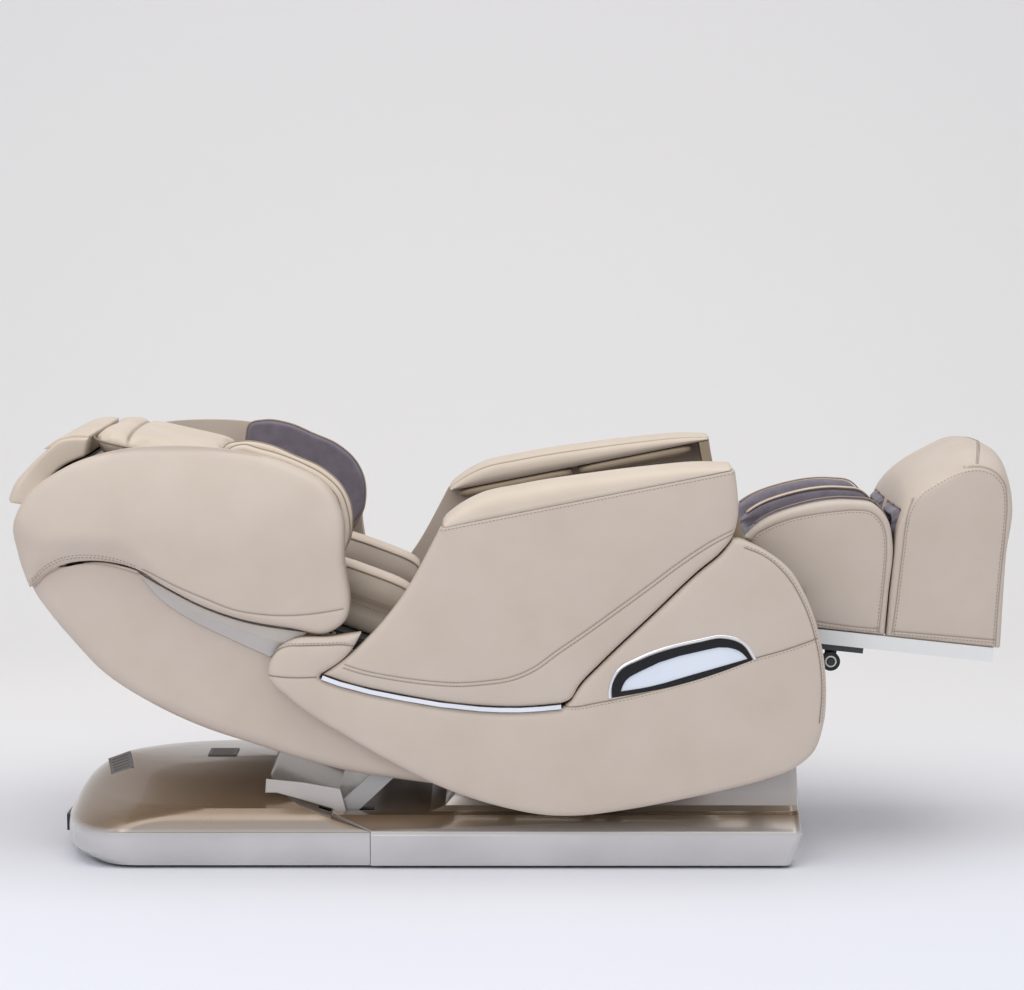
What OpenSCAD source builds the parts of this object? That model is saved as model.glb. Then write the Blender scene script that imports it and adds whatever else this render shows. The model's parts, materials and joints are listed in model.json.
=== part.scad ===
// Massage chair, fully reclined with its leg rest raised.
// X runs from the head end to the foot end, Y across the chair, Z up from the floor.
// Side outlines are lists of [x, z] points, taken from a pivot and seen from -Y,
// which is the sitter's right. A third value marks a sharp corner.

/* [Overall] */
// Width over the two side panels
chair_width = 750; // [740:2:790]
// Clear width between the arms
seat_width = 490; // [474:2:494]

/* [Base] */
// Width of the base skirt
base_width = 720; // [704:2:730]
// Front end of the base
base_front_x = 547; // [541:1:553]
// Rear end of the base
base_rear_x = -855; // [-861:1:-851]
// Where the front cover meets the rear cover
base_split_x = -262; // [-266:1:-258]
// Height of the rubber feet under the tray
foot_height = 8; // [6:0.5:10]
// Radius of a rubber foot
foot_radius = 24; // [18:1:28]
// Thickness of the steel tray
tray_thick = 6; // [4:0.5:8]
// Height of the skirt's top edge above the floor
skirt_top = 70; // [66:1:74]
// Wall of the plastic base covers
cover_wall = 4; // [3:0.5:5]
// Height of the rear cover's hump above the skirt
hump_rise = 80; // [74:1:84]
// Height of the pivot tower above the skirt
tower_rise = 124; // [112:1:128]

/* [Pivots] */
// Seat tilt axis, along the chair
tilt_x = 476; // [473:1:479]
// Seat tilt axis, above the floor
tilt_z = 250; // [247:1:253]
// Backrest axis, along the chair
hip_x = -168; // [-170:1:-166]
// Backrest axis, above the floor
hip_z = 360; // [358:1:362]
// Leg rest axis, along the chair
knee_x = 530; // [529:1:531]
// Leg rest axis, above the floor
knee_z = 488; // [486:1:490]
// Radius of the pivot pins and shafts
pin_radius = 12; // [10:0.5:13]
// Running clearance round a pin
pin_play = 0.05; // [0.03:0.01:0.08]
// Wall of a pivot hub round its pin
hub_wall = 8; // [6:0.5:9]

/* [Side panels] */
// Thickness of a padded side panel
panel_thick = 38; // [34:1:42]
// Radius of a panel's padded edge
panel_edge = 12; // [8:1:13]
// Gap between neighbouring panels
panel_gap = 3; // [2:0.5:4]
// Height of the chrome strip
strip_height = 8; // [6:0.5:9]
// How far the chrome strip stands proud
strip_proud = 1; // [0.5:0.5:2]
// Depth of the lamp pocket in the side panel
lamp_depth = 18; // [14:1:22]
// Depth of the lens in its housing
lens_depth = 6; // [4:0.5:8]

/* [Arms] */
// Clear height of the forearm slot
slot_height = 104; // [96:1:108]
// Thickness of the forearm tray
tray_pad = 34; // [28:1:38]
// Thickness of an arm airbag
airbag_thick = 26; // [20:1:30]

/* [Seat] */
// Thickness of the seat cushion
seat_thick = 84; // [78:1:88]
// Slope of the reclined seat
seat_slope = 18; // [17.5:0.1:18.5]
// Thickness of the frame plates
plate_thick = 8; // [6:0.5:9]
// Radius of the frames' cross tubes
tube_radius = 16; // [13:0.5:17]
// Thickness of the seat pan
pan_thick = 4; // [3:0.5:6]

/* [Backrest] */
// Gap between the backrest shell and a side panel
shell_gap = 15; // [13:0.5:19]
// Wall of the backrest shell
shell_wall = 7; // [5:0.5:9]
// Thickness of a side shield
shield_thick = 70; // [64:1:72]
// How far a shield stands out past the shell
shield_proud = 41; // [36:1:43]
// Height of the back cushion over its board
back_thick = 64; // [58:1:68]
// Thickness of a shoulder pad
shoulder_thick = 60; // [54:1:62]
// Slope of the backrest frame
back_slope = 20; // [19.5:0.1:20.5]

/* [Massage carriage] */
// Radius of a kneading roller
roller_radius = 36; // [30:1:37]
// Width of a kneading roller
roller_width = 34; // [28:1:38]
// Distance of a roller from the middle of the back
roller_offset = 64; // [60:1:68]
// Distance between the two rollers of an arm
roller_pitch = 120; // [110:2:126]
// Side of a square backrest rail
rail_side = 28; // [22:1:30]

/* [Leg rest] */
// Width over the calf and foot units
leg_width = 450; // [440:2:452]
// Thickness of the padded outer walls
leg_wall = 36; // [32:1:38]
// Slope of the raised leg rest
leg_slope = 6.2; // [6:0.1:6.4]
// Height of a foot slide rail
slide_height = 27; // [22:1:29]
// Width of a foot slide rail
slide_width = 20; // [16:1:22]
// Radius of the guide rollers
guide_radius = 18; // [16:0.5:19]
// Thickness of the foot and calf linings
lining = 12; // [9:0.5:14]
// Thickness of the divider between the legs
divider = 40; // [34:1:44]
// Radius of a sole roller
sole_radius = 17; // [13:0.5:19]

/* [Wheels and drives] */
// Radius of a transport wheel
wheel_radius = 28; // [24:1:29]
// Width of a transport wheel
wheel_width = 22; // [18:1:26]
// Radius of an actuator's tube
drive_radius = 20; // [17:0.5:22]
// Radius of an actuator's rod
rod_radius = 10; // [8:0.5:11]

/* [Hidden] */
$fn = 24;

seat_gap = 0.3;      // between a piece and what it sits on
over = 1;            // how far a cut runs past a face
half_width = chair_width / 2;
panel_in = half_width - panel_thick;
plate_out = panel_in - seat_gap;
plate_in = plate_out - plate_thick;
arm_in = seat_width / 2;
tray_top = foot_height + tray_thick;
bore_radius = pin_radius + pin_play;
hub_radius = bore_radius + hub_wall;

// ---- outlines and skins ----

function at(p, i) = p[(i + len(p)) % len(p)];
function xz(q) = [q[0], q[1]];
function unit(v) = v / norm(v);
function total(v) = v * [for (x = v) 1];
function moved(p, d) = [for (q = p) len(q) > 2 ? [q[0] + d[0], q[1] + d[1], q[2]] : q + d];

// Direction of the curve at point i, the nearer neighbour counting more.
function heading(p, i) =
  let (a = xz(at(p, i - 1)), b = xz(p[i]), c = xz(at(p, i + 1)), d0 = norm(b - a), d1 = norm(c - b))
  ((b - a) / d0 * d1 + (c - b) / d1 * d0) / (d0 + d1);

// Cubic through a and b with end directions ma and mb.
function cubic(a, b, ma, mb, t) =
  a * (2 * pow(t, 3) - 3 * t * t + 1) + b * (3 * t * t - 2 * pow(t, 3))
  + ma * (pow(t, 3) - 2 * t * t + t) + mb * (pow(t, 3) - t * t);

// Smooth closed curve through points; straight between two sharp corners.
function curve(p, steps = 4) = [for (i = [0:len(p) - 1])
  let (a = xz(p[i]), b = xz(at(p, i + 1)), d = norm(b - a), j = (i + 1) % len(p),
    sa = len(p[i]) > 2, sb = len(p[j]) > 2,
    va = sa ? [0, 0] : d * heading(p, i), vb = sb ? [0, 0] : d * heading(p, j),
    ma = sa ? (sb ? b - a : 1.5 * (b - a) - vb / 2) : va,
    mb = sb ? (sa ? b - a : 1.5 * (b - a) - va / 2) : vb, n = sa && sb ? 1 : steps)
  for (k = [0:n - 1]) cubic(a, b, ma, mb, k / n)];

// +1 for an anticlockwise outline, -1 for a clockwise one.
function turn(p) = sign(total([for (i = [0:len(p) - 1])
  let (a = p[i], b = at(p, i + 1)) a[0] * b[1] - a[1] * b[0]]));

// Clear distance from corner i inwards to a wall of the outline that faces it.
function room(p, i, u, v, way) = min([1000, for (j = [0:len(p) - 1]) if (j != i && j != (i + len(p) - 1) % len(p))
  let (a = p[j], b = at(p, j + 1), w = unit(b - a), t = max(0, min(1, (p[i] - a) * w / norm(b - a))),
    q = a + t * (b - a) - p[i])
  if ((w * u < facing || w * v < facing) && q * way > 0) norm(q)]);
facing = -0.3;      // cosine past which two walls count as facing each other
room_share = 0.35;  // share of that clear distance that a corner may use
miter = 1.5;        // longest move of a sharp corner, in insets

// Outline moved inwards by d, each corner along its own bisector, and less where it is narrow.
function inset(p, d) = let (s = turn(p)) [for (i = [0:len(p) - 1])
  let (u = unit(p[i] - at(p, i - 1)), v = unit(at(p, i + 1) - p[i]),
    m = s * ([-u[1], u[0]] + [-v[1], v[0]]), e = min(d, room_share * room(p, i, u, v, unit(m))))
  p[i] + unit(m) * min(e * 2 / norm(m), e * miter)];

// Twice the signed area of a triangle.
function area2(a, b, c) = (b[0] - a[0]) * (c[1] - a[1]) - (b[1] - a[1]) * (c[0] - a[0]);

// True where corner i of the outline r, a list of numbers of points in p, can be cut off.
function ear(p, r, i) = let (n = len(r), h = r[(i + n - 1) % n], k = r[(i + 1) % n], a = p[h], b = p[r[i]], c = p[k])
  area2(a, b, c) > 0 && len([for (j = r) if (j != h && j != r[i] && j != k && area2(a, b, p[j]) >= 0
    && area2(b, c, p[j]) >= 0 && area2(c, a, p[j]) >= 0) 1]) == 0;
function first_ear(p, r, i) = i >= len(r) - 1 || ear(p, r, i) ? i : first_ear(p, r, i + 1);

// Triangles that fill an anticlockwise outline, one corner cut off at a time.
function fill(p, r, done = []) = len(r) < 4 ? [each done, r] :
  let (n = len(r), i = first_ear(p, r, 0))
  fill(p, [for (j = [1:n - 1]) r[(i + j) % n]], [each done, [r[(i + n - 1) % n], r[i], r[(i + 1) % n]]]);
function reversed(t) = [t[2], t[1], t[0]];

// Closed solid through rings of equal length, flat at both ends. Ends that lie across Y
// may be hollowed outlines, so they are filled triangle by triangle.
module skin(rings, across_y = false) {
  n = len(rings[0]);
  last = (len(rings) - 1) * n;
  ends = [for (r = [rings[0], rings[len(rings) - 1]]) [for (q = r) [q[0], q[2]]]];
  way = across_y ? turn(ends[0]) : 1;
  count = way > 0 ? [for (i = [0:n - 1]) i] : [for (i = [n - 1:-1:0]) i];
  first = across_y ? [for (t = fill(ends[0], count)) way > 0 ? reversed(t) : t] : [[for (i = [n - 1:-1:0]) i]];
  final = across_y ? [for (t = fill(ends[1], count)) [for (i = way > 0 ? t : reversed(t)) last + i]]
    : [[for (i = [0:n - 1]) last + i]];
  polyhedron(
    [for (r = rings) each r],
    [each first,
     for (j = [0:len(rings) - 2]) for (i = [0:n - 1])
       each let (a = j * n + i, b = j * n + (i + 1) % n) [[a, b, b + n], [a, b + n, a + n]],
     each final]);
}

// Side outline standing between two values of Y, with both faces' edges rounded.
module padded(outline, y0, y1, edge0, edge1 = 2, steps = 3) {
  skin([
    for (k = [0:steps]) let (a = 90 * k / steps)
      [for (q = inset(outline, edge0 * (1 - sin(a)))) [q[0], y0 + edge0 * (1 - cos(a)), q[1]]],
    for (k = [steps:-1:0]) let (a = 90 * k / steps)
      [for (q = inset(outline, edge1 * (1 - sin(a)))) [q[0], y1 - edge1 * (1 - cos(a)), q[1]]]], true);
}

module plate(outline, y0, y1) {
  translate([0, y1, 0]) rotate([90, 0, 0]) linear_extrude(y1 - y0) polygon(outline);
}

module pin(x, z, r, y0, y1) {
  translate([x, y0, z]) rotate([-90, 0, 0]) cylinder(r = r, h = y1 - y0);
}

module block(x, y, z) {
  translate([x[0], y[0], z[0]]) cube([x[1] - x[0], y[1] - y[0], z[1] - z[0]]);
}

module left() { mirror([0, 1, 0]) children(); }
module both() { children(); left() children(); }

module at_hip() { translate([hip_x, 0, hip_z]) children(); }
module at_back() { at_hip() rotate([0, back_slope, 0]) children(); }
module at_knee() { translate([knee_x, 0, knee_z]) rotate([0, leg_slope, 0]) children(); }

// Power curve, which squares a circle off.
function squared(c, p) = sign(c) * pow(abs(c), 2 / p);

// Cushion lying from x = 0 to long: bowed ends, waisted sides, crowned top and
// grooves across it. It stands on z = 0 and is thick high at its edges.
module cushion(long, wide, thick, crown, waist, grooves = [], stations = 14, around = 20,
    groove_deep = 8, groove_wide = 9, soft = 4, lift = [[0, 0], [1, 0]]) {
  skin([for (i = [0:stations])
    let (u = i / stations, x = long * (u - sin(360 * u) / 18),
      bow = 1 - pow(abs(2 * u - 1), 8) * 0.16, side = wide / 2 * (1 - waist * sin(180 * u)) * bow,
      low = thick * pow(abs(2 * u - 1), 8) * 0.14,
      groove = total([0, for (g = grooves) groove_deep * exp(-pow((x - g) / groove_wide, 2))]),
      top = thick * bow + lookup(u, lift) - groove)
    [for (k = [0:around - 1]) let (a = 360 * k / around, c = squared(cos(a), soft),
      s = squared(sin(a), soft))
      [x, -side * c, (top + low) / 2 + (top - low) / 2 * s
        + (s > 0 ? crown * s * (1 - c * c) * bow : 0)]]]);
}

// ---- base ----

base_half = base_width / 2;
base_low = foot_height - 2;
wheel_x = base_rear_x + 104;
wheel_y = 258;
wheel_z = wheel_radius + 1;
axle_radius = 6;
lift_foot = [-327, 79];
lift_head = [hip_x + 30, hip_z - 102];
lift_y = 268;
lift_thick = 16;
lift_high = 34;
stand_y = base_half - 94;
stand_thick = 10;
inlet_y = -138;
inlet_z = 46;

// Plan of a cover at height z: a bowed rear end and a square front.
function plan(rear, front, side, z, deep, square) = [
  for (a = [-90:15:90]) [rear + deep * (1 - pow(cos(a), 2 / square)),
    side * sign(sin(a)) * pow(abs(sin(a)), 2 / square), z],
  [front, side, z], [front, -side, z]];

// Each row: height, rear inset, front end, side inset, depth and squareness of the rear bow.
function hump_rows(w) = [
  [base_low, 40, base_split_x, 6, 130, 3], [27, 2, base_split_x, 0, 150, 3],
  [skirt_top - 6, 0, base_split_x, 0, 150, 3], [skirt_top - w, 4, base_split_x, 4, 150, 3],
  [skirt_top + hump_rise * 0.27 - w, 13, base_split_x - 76, 18, 200, 2.5],
  [skirt_top + hump_rise * 0.47 - w, 26, base_split_x - 126, 35, 260, 2.2],
  [skirt_top + hump_rise * 0.65 - w, 45, base_split_x - 168, 98, 280, 2.1],
  [skirt_top + hump_rise * 0.84 - w, 70, base_split_x - 198, 180, 240, 2],
  [skirt_top + hump_rise * 0.95 - w, 87, base_split_x - 199, 260, 180, 2],
  [skirt_top + hump_rise - w, 110, base_split_x - 200, 325, 60, 2]];

module hump(w) {
  skin([for (r = hump_rows(w)) let (low = w > 0 && r[0] == base_low)
    plan(base_rear_x + r[1] + w, r[2] + (w > 0 ? over : 0), max(base_half - r[3] - w, 12),
      low ? base_low - over : r[0], r[4] - w, r[5])]);
}

module grille_place(i) {
  translate([[-765, -60, 136.5], [-569, -6, 148]][i]) rotate([[10, -18, 9], [0, 0, 0]][i]) children();
}
grille_size = [[46, 88, 8], [56, 66, 8]];

module rear_cover() {
  color("#b3a596") difference() {
    hump(0);
    hump(cover_wall);
    for (i = [0, 1]) grille_place(i) cube(grille_size[i] + [1, 1, 12] * 2 * seat_gap, center = true);
    block([base_rear_x - 5, base_rear_x + 30], [inlet_y - 30.3, inlet_y + 40.3],
      [inlet_z - 16.3, inlet_z + 16.3]);
    for (y = [-70, 70]) translate([base_rear_x - 5, y, 46]) rotate([0, 90, 0]) cylinder(r = 6.3, h = 30);
    both() block([lift_foot[0] - 36, base_split_x + 2], [lift_y - 15, lift_y + 15], [55, 140]);
  }
}

module vent_grilles() {
  color("#6f6a68") for (i = [0, 1]) grille_place(i) difference() {
    cube(grille_size[i], center = true);
    for (k = [-2:2]) translate([0, k * grille_size[i][1] / 6, 0])
      cube([grille_size[i][0] - 12, 3, 20], center = true);
  }
}

module screw_caps() {
  color("#d9d5cf") for (y = [-70, 70])
    translate([base_rear_x - 1.5, y, 46]) rotate([0, 90, 0]) cylinder(r = 6, h = cover_wall + 1.5);
}

// Each row: height, rear end, front inset, side inset.
function tower_rows(w) = [
  [base_low, base_split_x + 1, 20, 2], [base_low + 11, base_split_x + 1, 15, 0],
  [skirt_top - 6, base_split_x + 1, 0, 0], [skirt_top - w, base_split_x + 1, 2, 4],
  [skirt_top + 24 - w, base_split_x - 74, 3, 40],
  [skirt_top + 27 - w, base_split_x + 110, 3, 56],
  [skirt_top + 37 - w, base_split_x + 139, 3, 64],
  [skirt_top + 58 - w, base_split_x + 158, 3, 70],
  [skirt_top + tower_rise - w, base_split_x + 164, 6, 78]];

module tower(w) {
  skin([for (r = tower_rows(w))
    let (z = w > 0 && r[0] == base_low ? base_low - over : r[0], x0 = r[1] + (z > skirt_top ? w : -w),
      x1 = base_front_x - r[2] - w, y = base_half - r[3] - w, c = 14)
    [[x0, -y, z], [x0, y, z], [x1 - c, y, z], [x1, y - c, z], [x1, c - y, z], [x1 - c, -y, z]]]);
}

cheek = [[-461, 156], [-463, 129], [-441, 129], [-399, 117], [-335, 98], [-327, 90], [-309, 90],
  [-321, 137], [-390, 149]];

module front_cover() {
  color("#b9b5b1") both() plate(cheek, -base_half + 72, -base_half + 76);
  color("#b9b5b1") difference() {
    tower(0);
    tower(cover_wall);
    both() block([tilt_x - 60, tilt_x + 60], [stand_y - 7, stand_y + 7], [skirt_top + 80, 250]);
    both() block([lift_foot[0] - 36, lift_foot[0] + 70], [lift_y - 15, lift_y + 15], [skirt_top - 15, 110]);
  }
}

module base_tray() {
  x0 = base_rear_x + 56;
  side = base_half - 5.6 - cover_wall;
  color("#2c2c2e") difference() {
    union() {
      translate([0, 0, foot_height]) linear_extrude(tray_thick)
        polygon([for (q = plan(x0, base_front_x - 34, side, 0, 150, 3)) [q[0], q[1]]]);
      both() for (x = [-180, 320])
        block([x, x + 40], [side - 20, base_half - cover_wall - 1.8], [foot_height, foot_height + tray_thick]);
      both() for (y = [wheel_y - wheel_width / 2 - 6, wheel_y + wheel_width / 2 + 2])
        block([wheel_x - 12, wheel_x + 12], [y, y + 4], [foot_height, wheel_z + 12]);
      both() pin(wheel_x, wheel_z, axle_radius, wheel_y - wheel_width / 2 - 6, wheel_y + wheel_width / 2 + 6);
      both() for (y = [lift_y - lift_thick / 2 - 5, lift_y + lift_thick / 2 + 1])
        plate([[lift_foot[0] - 24, foot_height], [lift_foot[0] + 24, foot_height],
          [lift_foot[0] + 13, lift_foot[1] + 10], [lift_foot[0] - 13, lift_foot[1] + 10]], y, y + 4);
      both() pin(lift_foot[0], lift_foot[1], 7, lift_y - lift_thick / 2 - 5, lift_y + lift_thick / 2 + 5);
    }
    both() block([wheel_x - wheel_radius - 5, wheel_x + wheel_radius + 5],
      [wheel_y - wheel_width / 2 - 1.5, wheel_y + wheel_width / 2 + 1.5], [0, tray_top + over]);
  }
}

module rubber_feet() {
  color("#1c1c1d") for (x = [-640, -110, 460], y = [-290, 290])
    translate([x, y, 0]) cylinder(r = foot_radius, h = foot_height - seat_gap);
}

module transport_wheels() {
  color("#1d1d1f") both() difference() {
    pin(wheel_x, wheel_z, wheel_radius, wheel_y - wheel_width / 2, wheel_y + wheel_width / 2);
    pin(wheel_x, wheel_z, axle_radius + pin_play, wheel_y - wheel_width, wheel_y + wheel_width);
  }
}

module pivot_stands() {
  color("#4a4b4e") both() difference() {
    union() {
      plate([[tilt_x - 52, tray_top + seat_gap], [tilt_x + 44, tray_top + seat_gap],
        [tilt_x + 17, tilt_z], [tilt_x - 17, tilt_z]], stand_y - stand_thick / 2, stand_y + stand_thick / 2);
      pin(tilt_x, tilt_z, hub_radius, stand_y - stand_thick / 2, stand_y + stand_thick / 2);
      block([tilt_x - 52, tilt_x + 44], [stand_y - 34, stand_y], [tray_top + seat_gap, tray_top + 8]);
    }
    pin(tilt_x, tilt_z, bore_radius, stand_y - stand_thick, stand_y + stand_thick);
  }
}

module tilt_shaft() {
  color("#9b9da0") pin(tilt_x, tilt_z, pin_radius, -plate_out, plate_out);
}

module control_box() {
  color("#3a3c40") difference() {
    block([-700, -480], [-110, 110], [tray_top + seat_gap, 84]);
    for (k = [0:8]) block([-690 + k * 24, -682 + k * 24], [-90, 90], [80, 90]);
  }
}

module air_pump() {
  color("#55585d") {
    block([60, 240], [-80, 80], [tray_top + seat_gap, 58]);
    for (x = [100, 200]) translate([x, 0, 57]) cylinder(r = 34, h = 60);
  }
}

module power_inlet() {
  color("#232325") difference() {
    block([base_rear_x - 2, base_rear_x + 26], [inlet_y - 30, inlet_y + 40], [inlet_z - 16, inlet_z + 16]);
    block([base_rear_x - 3, base_rear_x + 14], [inlet_y - 24, inlet_y + 2], [inlet_z - 9, inlet_z + 9]);
    block([base_rear_x - 3, base_rear_x + 14], [inlet_y + 15, inlet_y + 33], [inlet_z - 12, inlet_z + 12]);
  }
  color("#c9b37a") for (p = [[-17, 3], [-5, 3], [-11, -3]])
    block([base_rear_x + 6, base_rear_x + 15], [inlet_y + p[0] - 1, inlet_y + p[0] + 1],
      [inlet_z + p[1] - 3, inlet_z + p[1] + 3]);
}

// The rocker sits in its well beside the inlet and turns about Y.
module power_switch() {
  color("#1a1a1b") translate([base_rear_x + 6, inlet_y + 15.4, inlet_z]) rotate([-90, 0, 0]) {
    linear_extrude(17.2) polygon([[-7, -10], [-5, 0], [-7, 10], [3, 9], [3, -9]]);
    cylinder(r = 5, h = 17.2);
  }
}

// ---- lift struts, from the tray up to the seat frame ----

lift_run = lift_head - lift_foot;
lift_long = norm(lift_run);
lift_angle = atan2(lift_run[1], lift_run[0]);
sleeve_long = 170;
sleeve_wall = 3;
module at_lift() {
  translate([lift_foot[0], lift_y, lift_foot[1]]) rotate([0, -lift_angle, 0]) children();
}

module lift_sleeves() {
  color("#a9a7a5") both() difference() {
    at_lift() union() {
      block([0, sleeve_long], [-lift_thick / 2, lift_thick / 2], [-lift_high / 2, lift_high / 2]);
      pin(0, 0, lift_high / 2, -lift_thick / 2, lift_thick / 2);
    }
    at_lift() pin(0, 0, 7 + pin_play, -lift_thick, lift_thick);
    at_lift() block([24, sleeve_long + over], [sleeve_wall - lift_thick / 2, lift_thick / 2 - sleeve_wall],
      [sleeve_wall - lift_high / 2, lift_high / 2 - sleeve_wall]);
  }
}

module lift_rods() {
  thick = lift_thick / 2 - sleeve_wall - seat_gap;
  high = lift_high / 2 - sleeve_wall - seat_gap;
  color("#c6c6c8") both() difference() {
    at_lift() union() {
      block([30, lift_long], [-thick, thick], [-high, high]);
      pin(lift_long, 0, 24, -thick, thick);
    }
    at_lift() pin(lift_long, 0, 17, -lift_thick, lift_thick);
  }
}

// ---- seat frame ----

tilt_at = [tilt_x - hip_x, tilt_z - hip_z];
knee_at = [knee_x - hip_x, knee_z - hip_z];
lift_at = lift_head - [hip_x, hip_z];
seat_heel = [56, -32];     // rear lower edge of the seat cushion, from the hip
seat_long = 585;
drive_foot = [330, -60];   // the back drive's pivot on the seat frame, from the hip
drive_head = [-30, -110];  // its pivot on the backrest
drive_pin = 8;
drive_eye = 12;

module at_seat() { at_hip() translate([seat_heel[0], 0, seat_heel[1]]) rotate([0, -seat_slope, 0]) children(); }

frame_outline = [[-32, 26], [-32, -26], [2, -124], [58, -128], [230, -104], [560, -126],
  [tilt_at[0] - 34, tilt_at[1] - 34], [tilt_at[0] + 34, tilt_at[1] - 34], [tilt_at[0] + 34, tilt_at[1] + 20],
  [knee_at[0] + 26, knee_at[1] - 30], [knee_at[0] + 16, knee_at[1] + 18], [knee_at[0] - 26, knee_at[1] + 36],
  [560, 190], [40, 92]];

module seat_frame() {
  tube_z = -pan_thick - 2 * seat_gap - tube_radius;
  color("#3f4145") difference() {
    union() {
      both() plate(moved(frame_outline, [hip_x, hip_z]), plate_in, plate_out);
      at_seat() for (x = [110, 280, 520]) pin(x, tube_z, tube_radius, -plate_in - over, plate_in + over);
      at_hip() pin(drive_foot[0] + 44, drive_foot[1], tube_radius, -plate_in - over, plate_in + over);
      at_hip() both() pin(0, 0, pin_radius, hub_y + 13, plate_in + over);
      at_hip() both() pin(lift_at[0], lift_at[1], 7, lift_y - 12, plate_in + over);
      at_hip() both() plate([[drive_foot[0] - 12, drive_foot[1] - 12], [drive_foot[0] + 44, drive_foot[1] - 12],
        [drive_foot[0] + 44, drive_foot[1] + 12], [drive_foot[0] - 12, drive_foot[1] + 12]],
        drive_eye + 2, drive_eye + 10);
      at_hip() pin(drive_foot[0], drive_foot[1], drive_pin, -drive_eye - 10, drive_eye + 10);
    }
    at_hip() for (p = [tilt_at, knee_at]) pin(p[0], p[1], bore_radius, -half_width, half_width);
  }
}

module knee_shaft() {
  color("#9b9da0") pin(knee_x, knee_z, pin_radius, -plate_out, plate_out);
}

module seat_pan() {
  color("#54565a") at_seat()
    block([0, seat_long - 28], [-arm_in + 8, arm_in - 8], [-pan_thick - seat_gap, -seat_gap]);
}

module seat_cushion() {
  color("#6b6270") at_seat() cushion(seat_long, seat_width - 12, seat_thick - 14, 20, 0.02,
    [150, 290, 430], 24, 24, lift = [[0, 6], [0.4, 0], [0.8, 4], [1, 0]]);
}

// ---- side panels, arm covers and their trim ----

strip_line = [[-180, 5], [-147, -7], [-36, -33], [112, -54], [186, -56], [262, -50]];
cover_front = [[278, -38], [296, -10], [333, 29], [429, 121], [517, 205], [554, 236], [576, 264]];
cover_rise = [[586, 298], [585, 354]];
cover_top = [[580, 390], [39, 283]];
cover_back = [[20, 246], [-35, 150], [-128, 47]];
panel_low = [[-280, 7], [-240, -37], [-129, -112], [-37, -165], [37, -202], [149, -240], [232, -256],
  [298, -257], [372, -248], [456, -233], [549, -213], [641, -189], [696, -167], [730, -138], [749, -84],
  [753, -18], [741, 75], [716, 150], [682, 206], [640, 238]];
ear_top = [[-108, 86, 1], [-165, 79], [-239, 72], [-266, 53]];

// Open line moved sideways by d, to the left of its direction.
function beside(p, d) = [for (i = [0:len(p) - 1])
  let (a = p[max(i - 1, 0)], b = p[min(i + 1, len(p) - 1)], u = unit(b - a)) p[i] + d * [-u[1], u[0]]];
function sharp(q) = [q[0], q[1], 1];
function back_to_front(p) = [for (i = [len(p) - 1:-1:0]) p[i]];

strip_half = strip_height / 2;
strip_gap = 1;
function ends_sharp(p) = [for (i = [0:len(p) - 1]) i == 0 || i == len(p) - 1 ? sharp(p[i]) : p[i]];
cover_outline = [each ends_sharp(beside(strip_line, strip_half + strip_gap)), each cover_front,
  each cover_rise, sharp(cover_top[0]), sharp(cover_top[1]), each cover_back];
strip_end = 4 * unit(strip_line[0] - strip_line[1]);
panel_outline = [each panel_low, [590, 262, 1],
  each ends_sharp(back_to_front(beside(cover_front, -panel_gap))),
  each ends_sharp(back_to_front([beside(strip_line, -strip_half - strip_gap)[0] + strip_end,
    each [for (i = [1:len(strip_line) - 1]) beside(strip_line, -strip_half - strip_gap)[i]]])),
  sharp(beside(strip_line, strip_half)[0] + strip_end),
  each [for (q = beside(cover_back, -panel_gap)) if (q[1] < 70) q], each ear_top];
strip_outline = [each ends_sharp(beside(strip_line, -strip_half)),
  each ends_sharp(back_to_front(beside(strip_line, strip_half)))];
window = [[356, -33, 1], [356, -11], [370, 17], [407, 38], [518, 72], [558, 79], [595, 68], [616, 38, 1],
  [500, -3]];
lens = [[372, -21, 1], [381, -1], [407, 16], [518, 54], [569, 61], [591, 54], [606, 40, 1], [500, 9], [426, -12]];

module side_panel_right() {
  color("#cdbcae") at_hip() difference() {
    padded(curve(panel_outline, 2), -half_width, -panel_in, panel_edge, steps = 2);
    plate(curve(window, 3), -half_width - over, lamp_depth - half_width);
  }
}
module side_panel_left() { left() side_panel_right(); }

module arm_cover_right() {
  color("#d3c3b5") at_hip() padded(curve(cover_outline, 2), -half_width, -panel_in, panel_edge, steps = 2);
}
module arm_cover_left() { left() arm_cover_right(); }

module chrome_strips() {
  color("#d7d9dc") both() at_hip()
    plate(curve(strip_outline, 2), -half_width - strip_proud, -panel_in - seat_gap);
}

module lamp_housings() {
  color("#17181a") both() at_hip() difference() {
    plate(inset(curve(window, 3), seat_gap), -half_width - 2, lamp_depth - half_width - seat_gap);
    plate(inset(curve(lens, 3), -seat_gap), -half_width - 3, lens_depth - half_width);
  }
}

module lamp_lenses() {
  color("#dfe8f2") both() at_hip()
    plate(curve(lens, 3), 0.5 - half_width, lens_depth - half_width - seat_gap);
}

// ---- arms ----

arm_slope = atan2(cover_top[0][1] - cover_top[1][1], cover_top[0][0] - cover_top[1][0]);
arm_long = norm(cover_top[0] - cover_top[1]);
tray_z = -airbag_thick - slot_height - 2 * seat_gap;
shell_z = tray_z - tray_pad - seat_gap;
module at_arm() { at_hip() translate([cover_top[1][0], 0, cover_top[1][1]]) rotate([0, -arm_slope, 0]) children(); }

function arm_line(x) = cover_top[1][1] + (x - cover_top[1][0]) * tan(arm_slope) + seat_gap;
arm_crest = [[580, 390.4, 1], [574, 395], [560, 396], [516, 397], [443, 391], [333, 378],
  [186, 355], [112, 338], [63, 310], [46, 295], [39, 283.4, 1]];

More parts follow.
